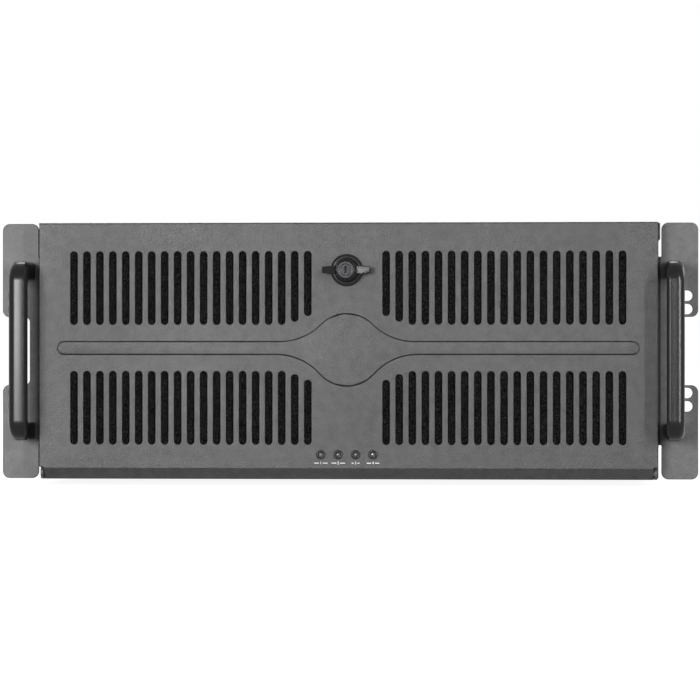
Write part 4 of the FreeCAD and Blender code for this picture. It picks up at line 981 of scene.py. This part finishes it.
def lathe(profile: Sequence[Point], sides: int = 24, ridge: float = 0.0) -> bmesh.types.BMesh:
    """Turn a profile about the Z axis.

    Args:
        profile: Corners (radius, height), from the lower middle to the upper middle.
        sides: Faces in one turn.
        ridge: Share of the radius by which every second corner of the widest rings stands out.

    Returns:
        The closed mesh.
    """
    shape = bmesh.new()
    widest = max(radius for radius, _ in profile)
    rings = []
    for radius, height in profile:
        if radius < SPECK:
            rings.append([shape.verts.new((0.0, 0.0, height))])
            continue
        ring = []
        for side in range(sides):
            out = radius * (1.0 + ridge) if side % 2 and radius > widest * 0.99 else radius
            angle = 2.0 * math.pi * side / sides
            ring.append(shape.verts.new((out * math.cos(angle), out * math.sin(angle), height)))
        rings.append(ring)
    for low, high in zip(rings, rings[1:]):
        if len(low) == len(high) > 1:
            bridge(shape, low, high)
        elif len(low) != len(high):
            tip, wide = (low[0], high) if len(low) == 1 else (high[0], low)
            for side in range(sides):
                shape.faces.new((tip, wide[side], wide[(side + 1) % sides]))
    bmesh.ops.recalc_face_normals(shape, faces=shape.faces)
    return shape


def add_block(shape: bmesh.types.BMesh, size: Sequence[float], middle: Sequence[float]) -> bmesh.types.BMesh:
    """Add a block with a size along each axis about its middle to a mesh."""
    bmesh.ops.create_cube(shape, size=1.0, matrix=Matrix.Translation(middle) @ Matrix.Diagonal((*size, 1.0)))
    return shape


@dataclass
class SmallParts:
    """The screws, rivets and thumb screws, each drawn once for a head of its own size."""

    shop: Workshop
    sides: int = 28
    recess_width: float = 0.13
    recess_reach: float = 0.6
    recess_floor: float = 0.1
    recess_depth: float = 0.5
    rivet_sides: int = 20
    knurl_sides: int = 56
    knurl_depth: float = -0.055
    shank_length: float = 6.0 * MM
    collar_rise: float = 1.2 * MM
    driver_slot: tuple[float, float] = (1.1 * MM, 2.4 * MM)

    def carved(self, name: str, shape: bmesh.types.BMesh, tools: Sequence[bmesh.types.BMesh]) -> bpy.types.Object:
        """Cut tools out of a head.

        Args:
            name: The part's name.
            shape: The head.
            tools: What is cut out of it.

        Returns:
            The carved part.
        """
        item = self.shop.mesh_object(name, shape)
        for number, tool in enumerate(tools):
            cutter = self.shop.mesh_object(f"{name}_cutter_{number}", tool)
            cut = item.modifiers.new("recess", "BOOLEAN")
            cut.operation = "DIFFERENCE"
            cut.solver = "EXACT"
            cut.object = cutter
            self.shop.bake(item)
            bpy.data.objects.remove(cutter)
        self.shop.smooth(item, 30.0)
        return item

    def screw(self) -> bpy.types.Object:
        """A pan-head screw with a cross recess, one unit across."""
        head = lathe([(0.0, -0.3), (0.28, -0.3), (0.28, 0.0), (0.47, 0.0), (0.5, 0.03), (0.5, 0.11), (0.47, 0.2),
                      (0.38, 0.28), (0.22, 0.33), (0.0, 0.345)], self.sides)
        depth = self.recess_depth
        middle = (0.0, 0.0, self.recess_floor + depth / 2)
        bars = [add_block(bmesh.new(), size, middle) for size in (
            (self.recess_reach, self.recess_width, depth), (self.recess_width, self.recess_reach, depth))]
        return self.carved("screw_part", head, bars)

    def rivet(self) -> bpy.types.Object:
        """A blind rivet's domed head with its pulled stem, one unit across."""
        head = lathe([(0.0, -0.1), (0.3, -0.1), (0.3, 0.0), (0.5, 0.0), (0.49, 0.06), (0.42, 0.15), (0.3, 0.21),
                      (0.2, 0.23), (0.17, 0.2), (0.15, 0.13), (0.0, 0.15)], self.rivet_sides)
        return self.carved("rivet_part", head, [])

    def thumb_screw(self, radius: float, length: float) -> bpy.types.Object:
        """A knurled thumb screw with a driver slot.

        Args:
            radius: Radius over the head.
            length: Length of the head.

        Returns:
            The part, with its flange on z = 0.
        """
        edge, shank, collar = 0.5 * MM, self.shank_length, self.collar_rise
        head = lathe([(0.0, -shank), (0.48 * radius, -shank), (0.48 * radius, 0.0), (0.8 * radius, 0.0),
                      (0.8 * radius, collar), (radius - edge, collar), (radius, collar + edge),
                      (radius, length - edge), (radius - edge, length), (0.55 * radius, length),
                      (0.5 * radius, length - edge), (0.0, length - edge)], self.knurl_sides, self.knurl_depth)
        slot = add_block(bmesh.new(), (3.0 * radius, *self.driver_slot), (0.0, 0.0, length))
        return self.carved("thumb_part", head, [slot])


@dataclass
class Fasteners:
    """Every screw, rivet and thumb screw of the case."""

    shop: Workshop
    setter: PointSetter
    screw_across: float = 6.4 * MM
    handle_screw_across: float = 8.0 * MM
    rivet_across: float = 6.0 * MM
    ear_screw_rise: float = 45.0 * MM
    ear_screw_inset: float = 12.0 * MM
    fan_screw_half: float = 52.5 * MM
    flange_sheet: float = 2.0 * MM
    cards: int = 7
    card_width: float = 18.4 * MM
    card_screw_inset: float = 6.5 * MM
    rivet_insets: tuple[float, float] = (45.0 * MM, 6.0 * MM)
    rivet_rises: tuple[float, ...] = (22.0 * MM, 88.0 * MM, 154.0 * MM)
    pan_screw_inset: float = 3.5 * MM
    pan_screw_across: float = 4.6 * MM
    cam_screw_across: float = 7.6 * MM

    def build(self) -> None:
        """Set the fasteners of each body."""
        small = SmallParts(self.shop)
        screw, rivet = small.screw(), small.rivet()
        self.ears(screw)
        self.panels(screw, rivet)
        self.door(screw)
        self.cam(screw)
        self.lid(small)
        for part in (screw, rivet):
            bpy.data.objects.remove(part)

    def place(self, name: str, part: bpy.types.Object, places: list[Vector], axis: Vector, size: float,
              body: Body, slot: str = "screw_zinc") -> None:
        """Set a row of fasteners and dress it as one piece."""
        item = self.setter.set(self.shop, name, part, places, axis, size, 2.0 * math.pi, slot)
        self.shop.finish(item, slot, body)

    def ears(self, screw: bpy.types.Object) -> None:
        """Three screws through each ear's flange, and two behind each handle's feet."""
        for word, side in SIDES.items():
            low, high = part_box(f"ear_{word}")
            flange = min(abs(low.x), abs(high.x)) + self.flange_sheet
            middle = (low.z + high.z) / 2
            behind = high.y - self.ear_screw_inset
            places = [Vector((side * flange, behind, middle + step * self.ear_screw_rise)) for step in (-1, 0, 1)]
            self.place(f"ear_screws_{word}", screw, places, Vector((side, 0, 0)), self.screw_across, Body.CASE)
            bar_low, bar_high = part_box(f"handle_{word}")
            across = (bar_low.x + bar_high.x) / 2
            inset = (bar_high.x - bar_low.x) / 2
            feet = [Vector((across, bar_high.y + self.flange_sheet, height))
                    for height in (bar_low.z + inset, bar_high.z - inset)]
            self.place(f"handle_screws_{word}", screw, feet, Vector((0, 1, 0)), self.handle_screw_across, Body.CASE)

    def panels(self, screw: bpy.types.Object, rivet: bpy.types.Object) -> None:
        """Screws of the fan and the card covers, and the rivets that hold the panels to the tray."""
        fan_low, fan_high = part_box("fan_frame")
        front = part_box("front_panel")[0].y
        centre = (fan_low + fan_high) / 2
        reach = self.fan_screw_half
        fan = [Vector((centre.x + across * reach, front, centre.z + up * reach))
               for across in (-1, 1) for up in (-1, 1)]
        self.place("fan_screws", screw, fan, Vector((0, -1, 0)), self.screw_across, Body.CASE, "case_black")
        low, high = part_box("slot_covers")
        pitch = (high.x - low.x - self.card_width) / (self.cards - 1)
        cards = [Vector((low.x + self.card_width / 2 + step * pitch, high.y - self.card_screw_inset, high.z))
                 for step in range(self.cards)]
        self.place("card_screws", screw, cards, Vector((0, 0, 1)), self.screw_across, Body.CASE)
        tray_low, tray_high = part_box("chassis_tray")
        near, far = tray_low.y + self.rivet_insets[0], tray_high.y - self.rivet_insets[1]
        for word, side in SIDES.items():
            places = [Vector((side * tray_high.x, behind, height))
                      for behind in (near, far) for height in self.rivet_rises]
            self.place(f"tray_rivets_{word}", rivet, places, Vector((side, 0, 0)), self.rivet_across,
                       Body.CASE, "case_black")

    def door(self, screw: bpy.types.Object) -> None:
        """Four small screws in the rim of each filter pan."""
        inset = self.pan_screw_inset
        for word in SIDES:
            low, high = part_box(f"filter_retainer_{word}")
            places = [Vector((across, high.y, height)) for across in (low.x + inset, high.x - inset)
                      for height in (low.z + inset, high.z - inset)]
            self.place(f"pan_screws_{word}", screw, places, Vector((0, 1, 0)), self.pan_screw_across, Body.DOOR)

    def cam(self, screw: bpy.types.Object) -> None:
        """The screw that holds the cam on the lock's spindle."""
        low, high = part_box("lock_knob")
        cam_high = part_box("lock_cam")[1]
        place = Vector(((low.x + high.x) / 2, cam_high.y, (low.z + high.z) / 2))
        self.place("cam_screw", screw, [place], Vector((0, 1, 0)), self.cam_screw_across, Body.KNOB)

    def lid(self, small: SmallParts) -> None:
        """The three thumb screws in the cover's back flange."""
        low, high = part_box("thumb_screws")
        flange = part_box("top_cover")[1].y
        radius = (high.z - low.z) / 2
        part = small.thumb_screw(radius, high.y - flange)
        height = (low.z + high.z) / 2
        places = [Vector((across, flange, height)) for across in (low.x + radius, 0.0, high.x - radius)]
        item = self.setter.set(self.shop, "thumb_screws_finish", part, places, Vector((0, 1, 0)), 1.0, math.pi)
        self.shop.finish(item, "screw_zinc", Body.LID, ("thumb_screws",))
        bpy.data.objects.remove(part)


# ------------------------------------------------------------------ door

@dataclass
class Door:
    """The slotted door with its foam filters, lamps and printed marks."""

    shop: Workshop
    setter: PointSetter
    sheet: float = 1.2 * MM
    slot_width: float = 5.0 * MM
    slot_round: float = 0.4 * MM
    end_steps: int = 12
    roll_steps: int = 3
    band: float = 0.7 * MM
    rim_band: float = 1.9 * MM
    back_band: float = 0.5 * MM
    fold_round: float = 1.3 * MM
    fold_height: float = 12.0 * MM
    edge: float = 0.42 * MM
    foam_step: float = 1.0 * MM
    foam_relief: float = 0.5 * MM
    foam_cell: float = 1.3 * MM
    # which door faces get painted shade: the range of their facing and how far in front of the face they lie
    slope_facing: tuple[float, float] = (0.3, 0.95)
    slope_depth: float = 0.95 * MM
    lens_gap: float = 0.1 * MM
    dome_base: float = 0.1 * MM
    dome_rise: float = 0.75 * MM
    bezel_sink: float = 1.0 * MM
    bezel_step: float = 0.6 * MM
    bezel_power: float = 0.8
    arc_step: int = 15
    dash_gap: float = 1.3 * MM
    figure_share: float = 0.72
    ink: float = 0.01 * MM
    ink_lift: float = 0.012 * MM
    mark_height: float = 11.4 * MM
    mark_rise: float = 1.9 * MM
    dash_rise: float = 0.42 * MM
    mark_widths: tuple[float, ...] = (9.4 * MM, 9.4 * MM, 5.4 * MM, 8.6 * MM)

    def build(self) -> None:
        """Build the panel, the filters, the lamps and the marks."""
        self.panel()
        for word in SIDES:
            self.filter_pad(f"filter_{word}")
        self.lamps()
        self.marks()

    def panel(self) -> None:
        """Draw the slots again with round ends and rolled edges, and round the door's other edges."""
        shape = self.shop.merged("door_panel")
        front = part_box("lamp_bezels")[1].y
        back = front + self.sheet
        for plane in (Plane(1, front, -1.0), Plane(1, back, 1.0)):
            flat = plane.region(shape)
            loops = plane.loops(flat)
            slots = [loop for loop in loops if self.is_slot(loop)]
            kept = [loop for loop in loops if not self.is_slot(loop)]
            bmesh.ops.delete(shape, geom=list(flat), context="FACES")
            outer = max(kept, key=lambda loop: abs(area(loop)))
            rings = [self.slot_ring(loop, self.slot_round if plane.facing < 0.0 else 0.0) for loop in slots]
            for loop in kept:
                reach = self.rim_band if plane.facing < 0.0 else self.back_band
                ring = grown(loop, -reach if loop is outer else self.band)
                plane.strip(shape, loop, ring)
                rings.append(ring)
            plane.fill(shape, rings)
        for loop in slots:
            self.slot_wall(shape, loop, front, back)
        bmesh.ops.remove_doubles(shape, verts=shape.verts, dist=WELD)
        loose = [vertex for vertex in shape.verts if not vertex.link_faces]
        bmesh.ops.delete(shape, geom=loose, context="VERTS")
        # faces on the raised bar's slopes are marked like rounded edges, so that the finish paints shade on them
        shallow, steep = self.slope_facing
        for face in shape.faces:
            forward = front - face.calc_center_median().y
            if shallow < -face.normal.y < steep and 0.0 < forward < self.slope_depth and len(face.verts) < 5:
                face.material_index = 1
        self.round_fold(shape, front)
        item = self.shop.mesh_object("door_panel_finish", shape)
        self.shop.soften(item, self.edge, 3, 50.0)
        self.shop.finish(item, "door_black", Body.DOOR, ("door_panel",))

    def round_fold(self, shape: bmesh.types.BMesh, front: float) -> None:
        """Give the bend along the door's foot its wide radius."""
        bend = []
        for edge in shape.edges:
            if len(edge.link_faces) != 2 or any(abs(vertex.co.y - front) > 0.02 * MM for vertex in edge.verts):
                continue
            low = [face for face in edge.link_faces if face.normal.z < -0.5 and face.normal.y < -0.5]
            if low and max(vertex.co.z for vertex in edge.verts) < self.fold_height:
                bend.append(edge)
        bmesh.ops.bevel(shape, geom=bend, offset=self.fold_round, offset_type="OFFSET", segments=5, profile=0.5,
                        affect="EDGES", clamp_overlap=False)

    def is_slot(self, loop: Sequence[Point]) -> bool:
        """Whether a loop is one of the air slots."""
        left, right, low, high = bounds(loop)
        return abs(right - left - self.slot_width) < 5 * HAIR and high - low > right - left

    def slot_ring(self, loop: Sequence[Point], grow: float) -> list[Point]:
        """A slot's outline with half-round ends.

        Args:
            loop: The slot's corners.
            grow: How far the outline lies outside the slot.

        Returns:
            Its corners.
        """
        left, right, low, high = bounds(loop)
        radius = (right - left) / 2
        ring = []
        for middle, start in ((high - radius, 0.0), (low + radius, 180.0)):
            for step in range(self.end_steps + 1):
                cosine, sine = at_angle(start + 180.0 * step / self.end_steps)
                ring.append(((left + right) / 2 + (radius + grow) * cosine, middle + (radius + grow) * sine))
        return ring

    def slot_wall(self, shape: bmesh.types.BMesh, loop: Sequence[Point], front: float,
                  back: float) -> None:
        """Take a slot's old wall away and build the new one, with its rolled edge."""
        left, right, low, high = bounds(loop)
        old = [face for face in shape.faces if abs(face.normal.y) < 0.3
               and all(left - HAIR < vertex.co.x < right + HAIR and low - HAIR < vertex.co.z < high + HAIR
                       for vertex in face.verts)]
        bmesh.ops.delete(shape, geom=old, context="FACES")
        steps = []
        for step in range(self.roll_steps + 1):
            cosine, sine = at_angle(90.0 * step / self.roll_steps)
            steps.append((self.slot_round * (1.0 - sine), front + self.slot_round * (1.0 - cosine)))
        rings = [[shape.verts.new((x, deep, z)) for x, z in self.slot_ring(loop, grow)]
                 for grow, deep in (*steps, (0.0, back))]
        for near, far in zip(rings, rings[1:]):
            bridge(shape, near, far)

    def filter_pad(self, node: str) -> None:
        """Build a foam pad whose front is pitted by its cells.

        Args:
            node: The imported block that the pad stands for.
        """
        low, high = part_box(node)
        across = round((high.x - low.x) / self.foam_step)
        up = round((high.z - low.z) / self.foam_step)
        corners = []
        for row in range(up + 1):
            for column in range(across + 1):
                x = low.x + (high.x - low.x) * column / across
                z = low.z + (high.z - low.z) * row / up
                rim = column in (0, across) or row in (0, up)
                pit = 0.0 if rim else 0.5 + 0.5 * noise.noise(Vector((x, 0.0, z)) / self.foam_cell)
                corners.append((x, low.y + self.foam_relief * pit, z))
        wide = across + 1
        starts = [row * wide + column for row in range(up) for column in range(across)]
        faces = [(first, first + 1, first + wide + 1, first + wide) for first in starts]
        ring = [(0, column) for column in range(across)] + [(row, across) for row in range(up)]
        ring += [(up, column) for column in range(across, 0, -1)] + [(row, 0) for row in range(up, 0, -1)]
        front = [row * wide + column for row, column in ring]
        start = len(corners)
        corners += [(corners[index][0], high.y, corners[index][2]) for index in front]
        count = len(front)
        faces += [(front[(step + 1) % count], front[step], start + step, start + (step + 1) % count)
                  for step in range(count)]
        faces.append(tuple(range(start + count - 1, start - 1, -1)))
        mesh = bpy.data.meshes.new(node)
        mesh.from_pydata(corners, [], faces)
        item = self.shop.mesh_object(f"{node}_foam", mesh)
        self.shop.smooth(item, 50.0)
        self.shop.finish(item, "foam", Body.DOOR, (node,))

    def lamp_places(self) -> list[Vector]:
        """The middles of the four lamps, on the door's face."""
        low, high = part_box("lamp_bezels")
        radius = (high.z - low.z) / 2
        first, last = low.x + radius, high.x - radius
        return [Vector((first + (last - first) * step / 3, high.y, (low.z + high.z) / 2)) for step in range(4)]

    def lamp_row(self, node: str, shape: bmesh.types.BMesh, slot: str, angle: float) -> None:
        """Set one turned part at every lamp.

        Args:
            node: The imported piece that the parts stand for.
            shape: The part, which stands on the door's face along Z.
            slot: Its material slot.
            angle: Edges sharper than this, in degrees, stay sharp.
        """
        part = self.shop.mesh_object(f"{node}_part", shape)
        self.shop.smooth(part, angle)
        item = self.setter.set(self.shop, f"{node}_finish", part, self.lamp_places(), Vector((0, -1, 0)), slot=slot)
        self.shop.finish(item, slot, Body.DOOR, (node,))
        bpy.data.objects.remove(part)

    def lamps(self) -> None:
        """Turn the bezels and the domed lenses."""
        low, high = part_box("lamp_bezels")
        lens_low, lens_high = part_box("lamps")
        outer, rise = (high.z - low.z) / 2, high.y - low.y
        inner = (lens_high.z - lens_low.z) / 2
        hole, sink, waist = inner + self.lens_gap, -self.bezel_sink, outer - self.bezel_step
        middle, half = (hole + outer) / 2, (outer - hole) / 2
        turns = [at_angle(angle) for angle in range(self.arc_step, 180, self.arc_step)]
        crown = [(middle + half * cosine, rise * sine ** self.bezel_power) for cosine, sine in turns]
        ring = lathe([(hole, sink), (waist, sink), (waist, 0.0), (outer, 0.0), *crown, (hole, 0.0), (hole, sink)], 40)
        bmesh.ops.remove_doubles(ring, verts=ring.verts, dist=SPECK)
        bmesh.ops.recalc_face_normals(ring, faces=ring.faces)
        self.lamp_row("lamp_bezels", ring, "black_plastic", 50.0)
        back = high.y - lens_high.y
        turns = [at_angle(angle) for angle in range(0, 91, self.arc_step)]
        dome = [(inner * cosine, self.dome_base + self.dome_rise * sine) for cosine, sine in turns]
        lens = lathe([(0.0, back), (inner, back), *dome[:-1], (0.0, dome[-1][1])], 32)
        self.lamp_row("lamps", lens, "lens", 40.0)

    def marks(self) -> None:
        """Print a plain number between two dashes under each lamp."""
        for number, (place, width) in enumerate(zip(self.lamp_places(), self.mark_widths), 1):
            text = bpy.data.curves.new(f"mark_{number}", "FONT")
            text.body = str(number)
            text.align_x = "CENTER"
            text.align_y = "CENTER"
            text.size = self.mark_rise / self.figure_share
            text.extrude = self.ink
            source = new_object(f"mark_{number}_text", text)
            graph = bpy.context.evaluated_depsgraph_get()
            mesh = bpy.data.meshes.new_from_object(source.evaluated_get(graph), depsgraph=graph)
            bpy.data.objects.remove(source)
            shape = bmesh.new()
            shape.from_mesh(mesh)
            dash = width / 2 - self.dash_gap
            for side in SIDES.values():
                add_block(shape, (dash, self.dash_rise, 2 * self.ink), (side * (width - dash) / 2, 0.0, 0.0))
            stand = Matrix.Translation((place.x, place.y - self.ink_lift, self.mark_height))
            shape.transform(stand @ Matrix.Rotation(math.radians(90.0), 4, "X"))
            item = self.shop.mesh_object(f"lamp_mark_{number}", shape)
            self.shop.finish(item, "print", Body.DOOR)


# ------------------------------------------------------------------ fan and ports

@dataclass
class Fan:
    """The bladed rotor of the intake fan."""

    shop: Workshop
    blades: int = 7
    hub_radius: float = 19.0 * MM
    hub_depth: float = 17.9 * MM
    hub_round: float = 2.0 * MM
    hub_chamfer: float = 0.6 * MM
    tip_radius: float = 54.0 * MM
    blade_inset: float = 1.4 * MM
    root_sink: float = 1.0 * MM
    chord_root: float = 17.0 * MM
    chord_tip: float = 30.0 * MM
    depth_root: float = 13.4 * MM
    depth_loss: float = 2.6 * MM
    camber: float = 1.2 * MM
    sweep: float = 0.25
    thickness: float = 1.3 * MM
    spans: int = 10
    chords: int = 8

    def build(self) -> None:
        """Build the hub and a ring of swept blades."""
        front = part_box("fan_rotor")[0].y
        frame_low, frame_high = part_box("fan_frame")
        centre = (frame_low + frame_high) / 2
        hub, chamfer = self.hub_radius, self.hub_chamfer
        profile = [(0.0, 0.0), (hub - self.hub_round, 0.0), (hub - chamfer, chamfer), (hub, self.hub_round),
                   (hub, self.hub_depth), (0.0, self.hub_depth)]
        shape = lathe(profile, 56)
        shape.transform(Matrix.Translation((centre.x, front, centre.z)) @ Matrix.Rotation(math.radians(-90.0), 4, "X"))
        item = self.shop.mesh_object("fan_hub_finish", shape)
        self.shop.smooth(item, 40.0)
        self.shop.finish(item, "black_plastic", Body.ROTOR)
        blade = self.shop.mesh_object("blade_part", self.blade())
        ring = self.ring(blade, Vector((centre.x, front + self.blade_inset, centre.z)))
        bpy.data.objects.remove(blade)
        self.shop.finish(ring, "black_plastic", Body.ROTOR, ("fan_rotor",))

    def blade(self) -> bmesh.types.BMesh:
        """Loft one blade that lies along +X, with its front at y = 0 and no thickness yet."""
        shape = bmesh.new()
        grid = []
        root = self.hub_radius - self.root_sink
        for span in range(self.spans + 1):
            share = span / self.spans
            radius = root + (self.tip_radius - root) * share
            chord = self.chord_root + (self.chord_tip - self.chord_root) * share
            row = []
            for step in range(self.chords + 1):
                along = step / self.chords - 0.5
                angle = along * chord / radius + self.sweep * share * share
                lean = (self.depth_root - self.depth_loss * share) * (along + 0.5)
                back = lean + self.camber * (1.0 - 4.0 * along * along)
                row.append(shape.verts.new((radius * math.cos(angle), back, radius * math.sin(angle))))
            grid.append(row)
        for near, far in zip(grid, grid[1:]):
            for step in range(self.chords):
                shape.faces.new((near[step], near[step + 1], far[step + 1], far[step]))
        return shape

    def ring(self, blade: bpy.types.Object, centre: Vector) -> bpy.types.Object:
        """Thicken the blade and repeat it about the hub with geometry nodes.

        Args:
            blade: The blade.
            centre: The place of the fan's axis at the blades' front.

        Returns:
            One mesh with all the blades.
        """
        wall = blade.modifiers.new("wall", "SOLIDIFY")
        wall.thickness = self.thickness
        wall.offset = 0.0
        self.shop.bake(blade)
        self.shop.smooth(blade, 40.0)
        inputs = {
            "Mesh": ("NodeSocketGeometry", None),
            "Part": ("NodeSocketObject", None),
            "Count": ("NodeSocketInt", 7),
            "Centre": ("NodeSocketVector", (0.0, 0.0, 0.0)),
            "Material": ("NodeSocketMaterial", None),
        }
        nodes, given, result = open_group("Blade Ring", "GeometryNodeTree", inputs, {"Mesh": "NodeSocketGeometry"})
        count = given.outputs["Count"]
        line = nodes.add("GeometryNodeMeshLine", {
            "Count": count, "Start Location": given.outputs["Centre"], "Offset": (0.0, 0.0, 0.0)}, mode="OFFSET")
        number = nodes.add("GeometryNodeInputIndex")
        angle = nodes.math("MULTIPLY", number.outputs["Index"], nodes.math("DIVIDE", 2.0 * math.pi, count))
        turn = nodes.add("ShaderNodeCombineXYZ", {"Y": angle})
        lay_copies(nodes, given, result, line.outputs["Mesh"], turn.outputs["Vector"])
        item = self.shop.mesh_object("fan_blades_finish", bpy.data.meshes.new("fan_blades"))
        self.shop.run_tree(item, nodes.tree, {"Part": blade, "Count": self.blades, "Centre": tuple(centre),
                                              "Material": self.shop.materials["black_plastic"]})
        return item


@dataclass
class Ports:
    """The tongues inside the two front ports."""

    shop: Workshop
    apart: float = 18.0 * MM
    tongue: tuple[float, float, float] = (11.0 * MM, 8.0 * MM, 1.6 * MM)
    inset: float = 3.0 * MM
    drop: float = 0.2 * MM
    edge: float = 0.2 * MM

    def build(self) -> None:
        """Set a tongue in each port."""
        low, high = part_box("usb_ports")
        middle = (low + high) / 2
        shape = bmesh.new()
        behind = low.y + self.tongue[1] / 2 + self.inset
        for side in SIDES.values():
            add_block(shape, self.tongue, (middle.x + side * self.apart / 2, behind, middle.z - self.drop))
        item = self.shop.mesh_object("port_tongues", shape)
        self.shop.soften(item, self.edge)
        self.shop.finish(item, "black_plastic", Body.CASE)


# ------------------------------------------------------------------ stage

@dataclass(frozen=True)
class Softbox:
    """An area light: its place, what it points at, its width and height, and its power in watts."""

    place: tuple[float, float, float]
    target: tuple[float, float, float]
    size: tuple[float, float]
    power: float

    def hang(self, name: str) -> None:
        """Put the light in the scene under a name."""
        lamp = bpy.data.lights.new(name, "AREA")
        lamp.shape = "RECTANGLE"
        lamp.size, lamp.size_y = self.size
        lamp.energy = self.power
        item = new_object(name, lamp)
        item.location = self.place
        way = Vector(self.target) - Vector(self.place)
        item.rotation_euler = way.to_track_quat("-Z", "Y").to_euler()


DOOR_MIDDLE = (0.0, -0.224, 0.0885)
KEY_TURN = 35.0         # degrees to the right of the door's own direction
KEY_AWAY = 2.1
KEY_RISE = 0.38
KEY_PLACE = (DOOR_MIDDLE[0] + KEY_AWAY * math.sin(math.radians(KEY_TURN)),
             DOOR_MIDDLE[1] - KEY_AWAY * math.cos(math.radians(KEY_TURN)), KEY_RISE)
SOFTBOXES = {
    "key_strip": Softbox(KEY_PLACE, DOOR_MIDDLE, (0.07, 1.1), 48.0),
    "front_box": Softbox((-0.9, -2.7, 0.34), (-0.1, -0.224, 0.1), (0.8, 0.68), 84.0),
    "fill_strip": Softbox((0.37, -2.8, 0.3), (0.2, -0.224, 0.1), (0.14, 0.6), 7.0),
    "kicker": Softbox((1.65, -1.7, 0.15), (0.0, -0.22, 0.12), (0.15, 0.5), 16.0),
    "back_box": Softbox((-0.2, 2.0, 2.0), (0.0, 0.2, 0.1), (1.4, 0.9), 34.0),
    "side_box": Softbox((2.2, 1.2, 1.0), (0.1, 0.0, 0.1), (0.9, 0.9), 14.0),
}


@dataclass
class Studio:
    """White floor and world, the softboxes and the camera."""

    ambient: float = 0.1
    bounce: float = 0.35
    floor_glow: float = 0.9
    floor_colour: float = 0.35
    floor_size: float = 14.0
    floor_level: float = -4.8 * MM
    near_floor: float = 0.9
    far_floor: float = 3.2
    camera_place: tuple[float, float, float] = (0.148, -2.566, 0.0892)
    camera_yaw: float = 3.5
    camera_lens: float = 175.49
    camera_sensor: float = 36.0
    camera_shift: float = -0.0054

    def seen(self, nodes: Wiring) -> bpy.types.NodeSocket:
        """One for rays that see the background directly, in gloss or through glass."""
        path = nodes.add("ShaderNodeLightPath")
        first = nodes.math("MAXIMUM", path.outputs["Is Camera Ray"], path.outputs["Is Glossy Ray"])
        return nodes.math("MAXIMUM", first, path.outputs["Is Transmission Ray"])

    def world(self) -> None:
        """White to look at, and a soft even light on the case."""
        world = bpy.data.worlds.new("Studio World")
        nodes = own_nodes(world)
        lights = [nodes.add("ShaderNodeBackground", {"Color": WHITE, "Strength": strength}).outputs["Background"]
                  for strength in (self.ambient, 1.0)]
        mix = nodes.add("ShaderNodeMixShader", {"Fac": self.seen(nodes), 1: lights[0], 2: lights[1]})
        nodes.add("ShaderNodeOutputWorld", {"Surface": mix.outputs["Shader"]})
        bpy.context.scene.world = world

    def floor_light(self, nodes: Wiring) -> bpy.types.NodeSocket:
        """The floor's own light, which rises to full white far from the case."""
        place = nodes.add("ShaderNodeTexCoord")
        away = nodes.add("ShaderNodeVectorMath", {0: place.outputs["Object"]}, operation="LENGTH")
        rise = nodes.add("ShaderNodeMapRange", {
            "Value": away.outputs["Value"], "From Min": self.near_floor, "From Max": self.far_floor,
            "To Min": self.floor_glow, "To Max": 1.0}, interpolation_type="SMOOTHSTEP")
        return rise.outputs["Result"]

    def floor(self) -> None:
        """A white floor that keeps the case's shadow, low enough for the opened door to clear it."""
        shape = bmesh.new()
        bmesh.ops.create_grid(shape, x_segments=1, y_segments=1, size=self.floor_size)
        mesh = bpy.data.meshes.new("studio_floor")
        shape.to_mesh(mesh)
        shape.free()
        mesh.transform(Matrix.Translation((0.0, 0.0, self.floor_level)))
        floor = new_object("studio_floor", mesh)
        made = bpy.data.materials.new("Studio Floor")
        nodes = own_nodes(made)
        plain, pale = (nodes.add("ShaderNodeBsdfDiffuse", {"Color": (grey, grey, grey, 1.0)}).outputs["BSDF"]
                       for grey in (self.bounce, self.floor_colour))
        glow = nodes.add("ShaderNodeEmission", {"Strength": self.floor_light(nodes)})
        both = nodes.add("ShaderNodeAddShader", {0: pale, 1: glow.outputs["Emission"]})
        mix = nodes.add("ShaderNodeMixShader", {"Fac": self.seen(nodes), 1: plain, 2: both.outputs["Shader"]})
        nodes.add("ShaderNodeOutputMaterial", {"Surface": mix.outputs["Shader"]})
        mesh.materials.append(made)

    def camera(self) -> None:
        """A long lens, level with the middle of the case and a little to its right."""
        lens = bpy.data.cameras.new("camera")
        lens.lens = self.camera_lens
        lens.sensor_width = self.camera_sensor
        lens.shift_x = self.camera_shift
        item = new_object("camera", lens)
        item.location = self.camera_place
        item.rotation_euler = (math.radians(90.0), 0.0, math.radians(self.camera_yaw))
        bpy.context.scene.camera = item

    def build(self) -> None:
        """Set up the whole stage."""
        self.world()
        self.floor()
        for name, softbox in SOFTBOXES.items():
            softbox.hang(name)
        self.camera()
        bpy.context.scene.view_settings.view_transform = "Standard"


def main() -> None:
    """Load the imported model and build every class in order."""
    logging.basicConfig(level=logging.INFO, format="%(message)s")
    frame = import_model()
    Studio().build()
    shop = Workshop(frame)
    setter = PointSetter()
    RoundedPieces(shop).build()
    Handles(shop).build()
    Door(shop, setter).build()
    Fan(shop).build()
    Ports(shop).build()
    Fasteners(shop, setter).build()
    log.info("%d pieces", len(shop.made))


if __name__ == "__main__":
    main()
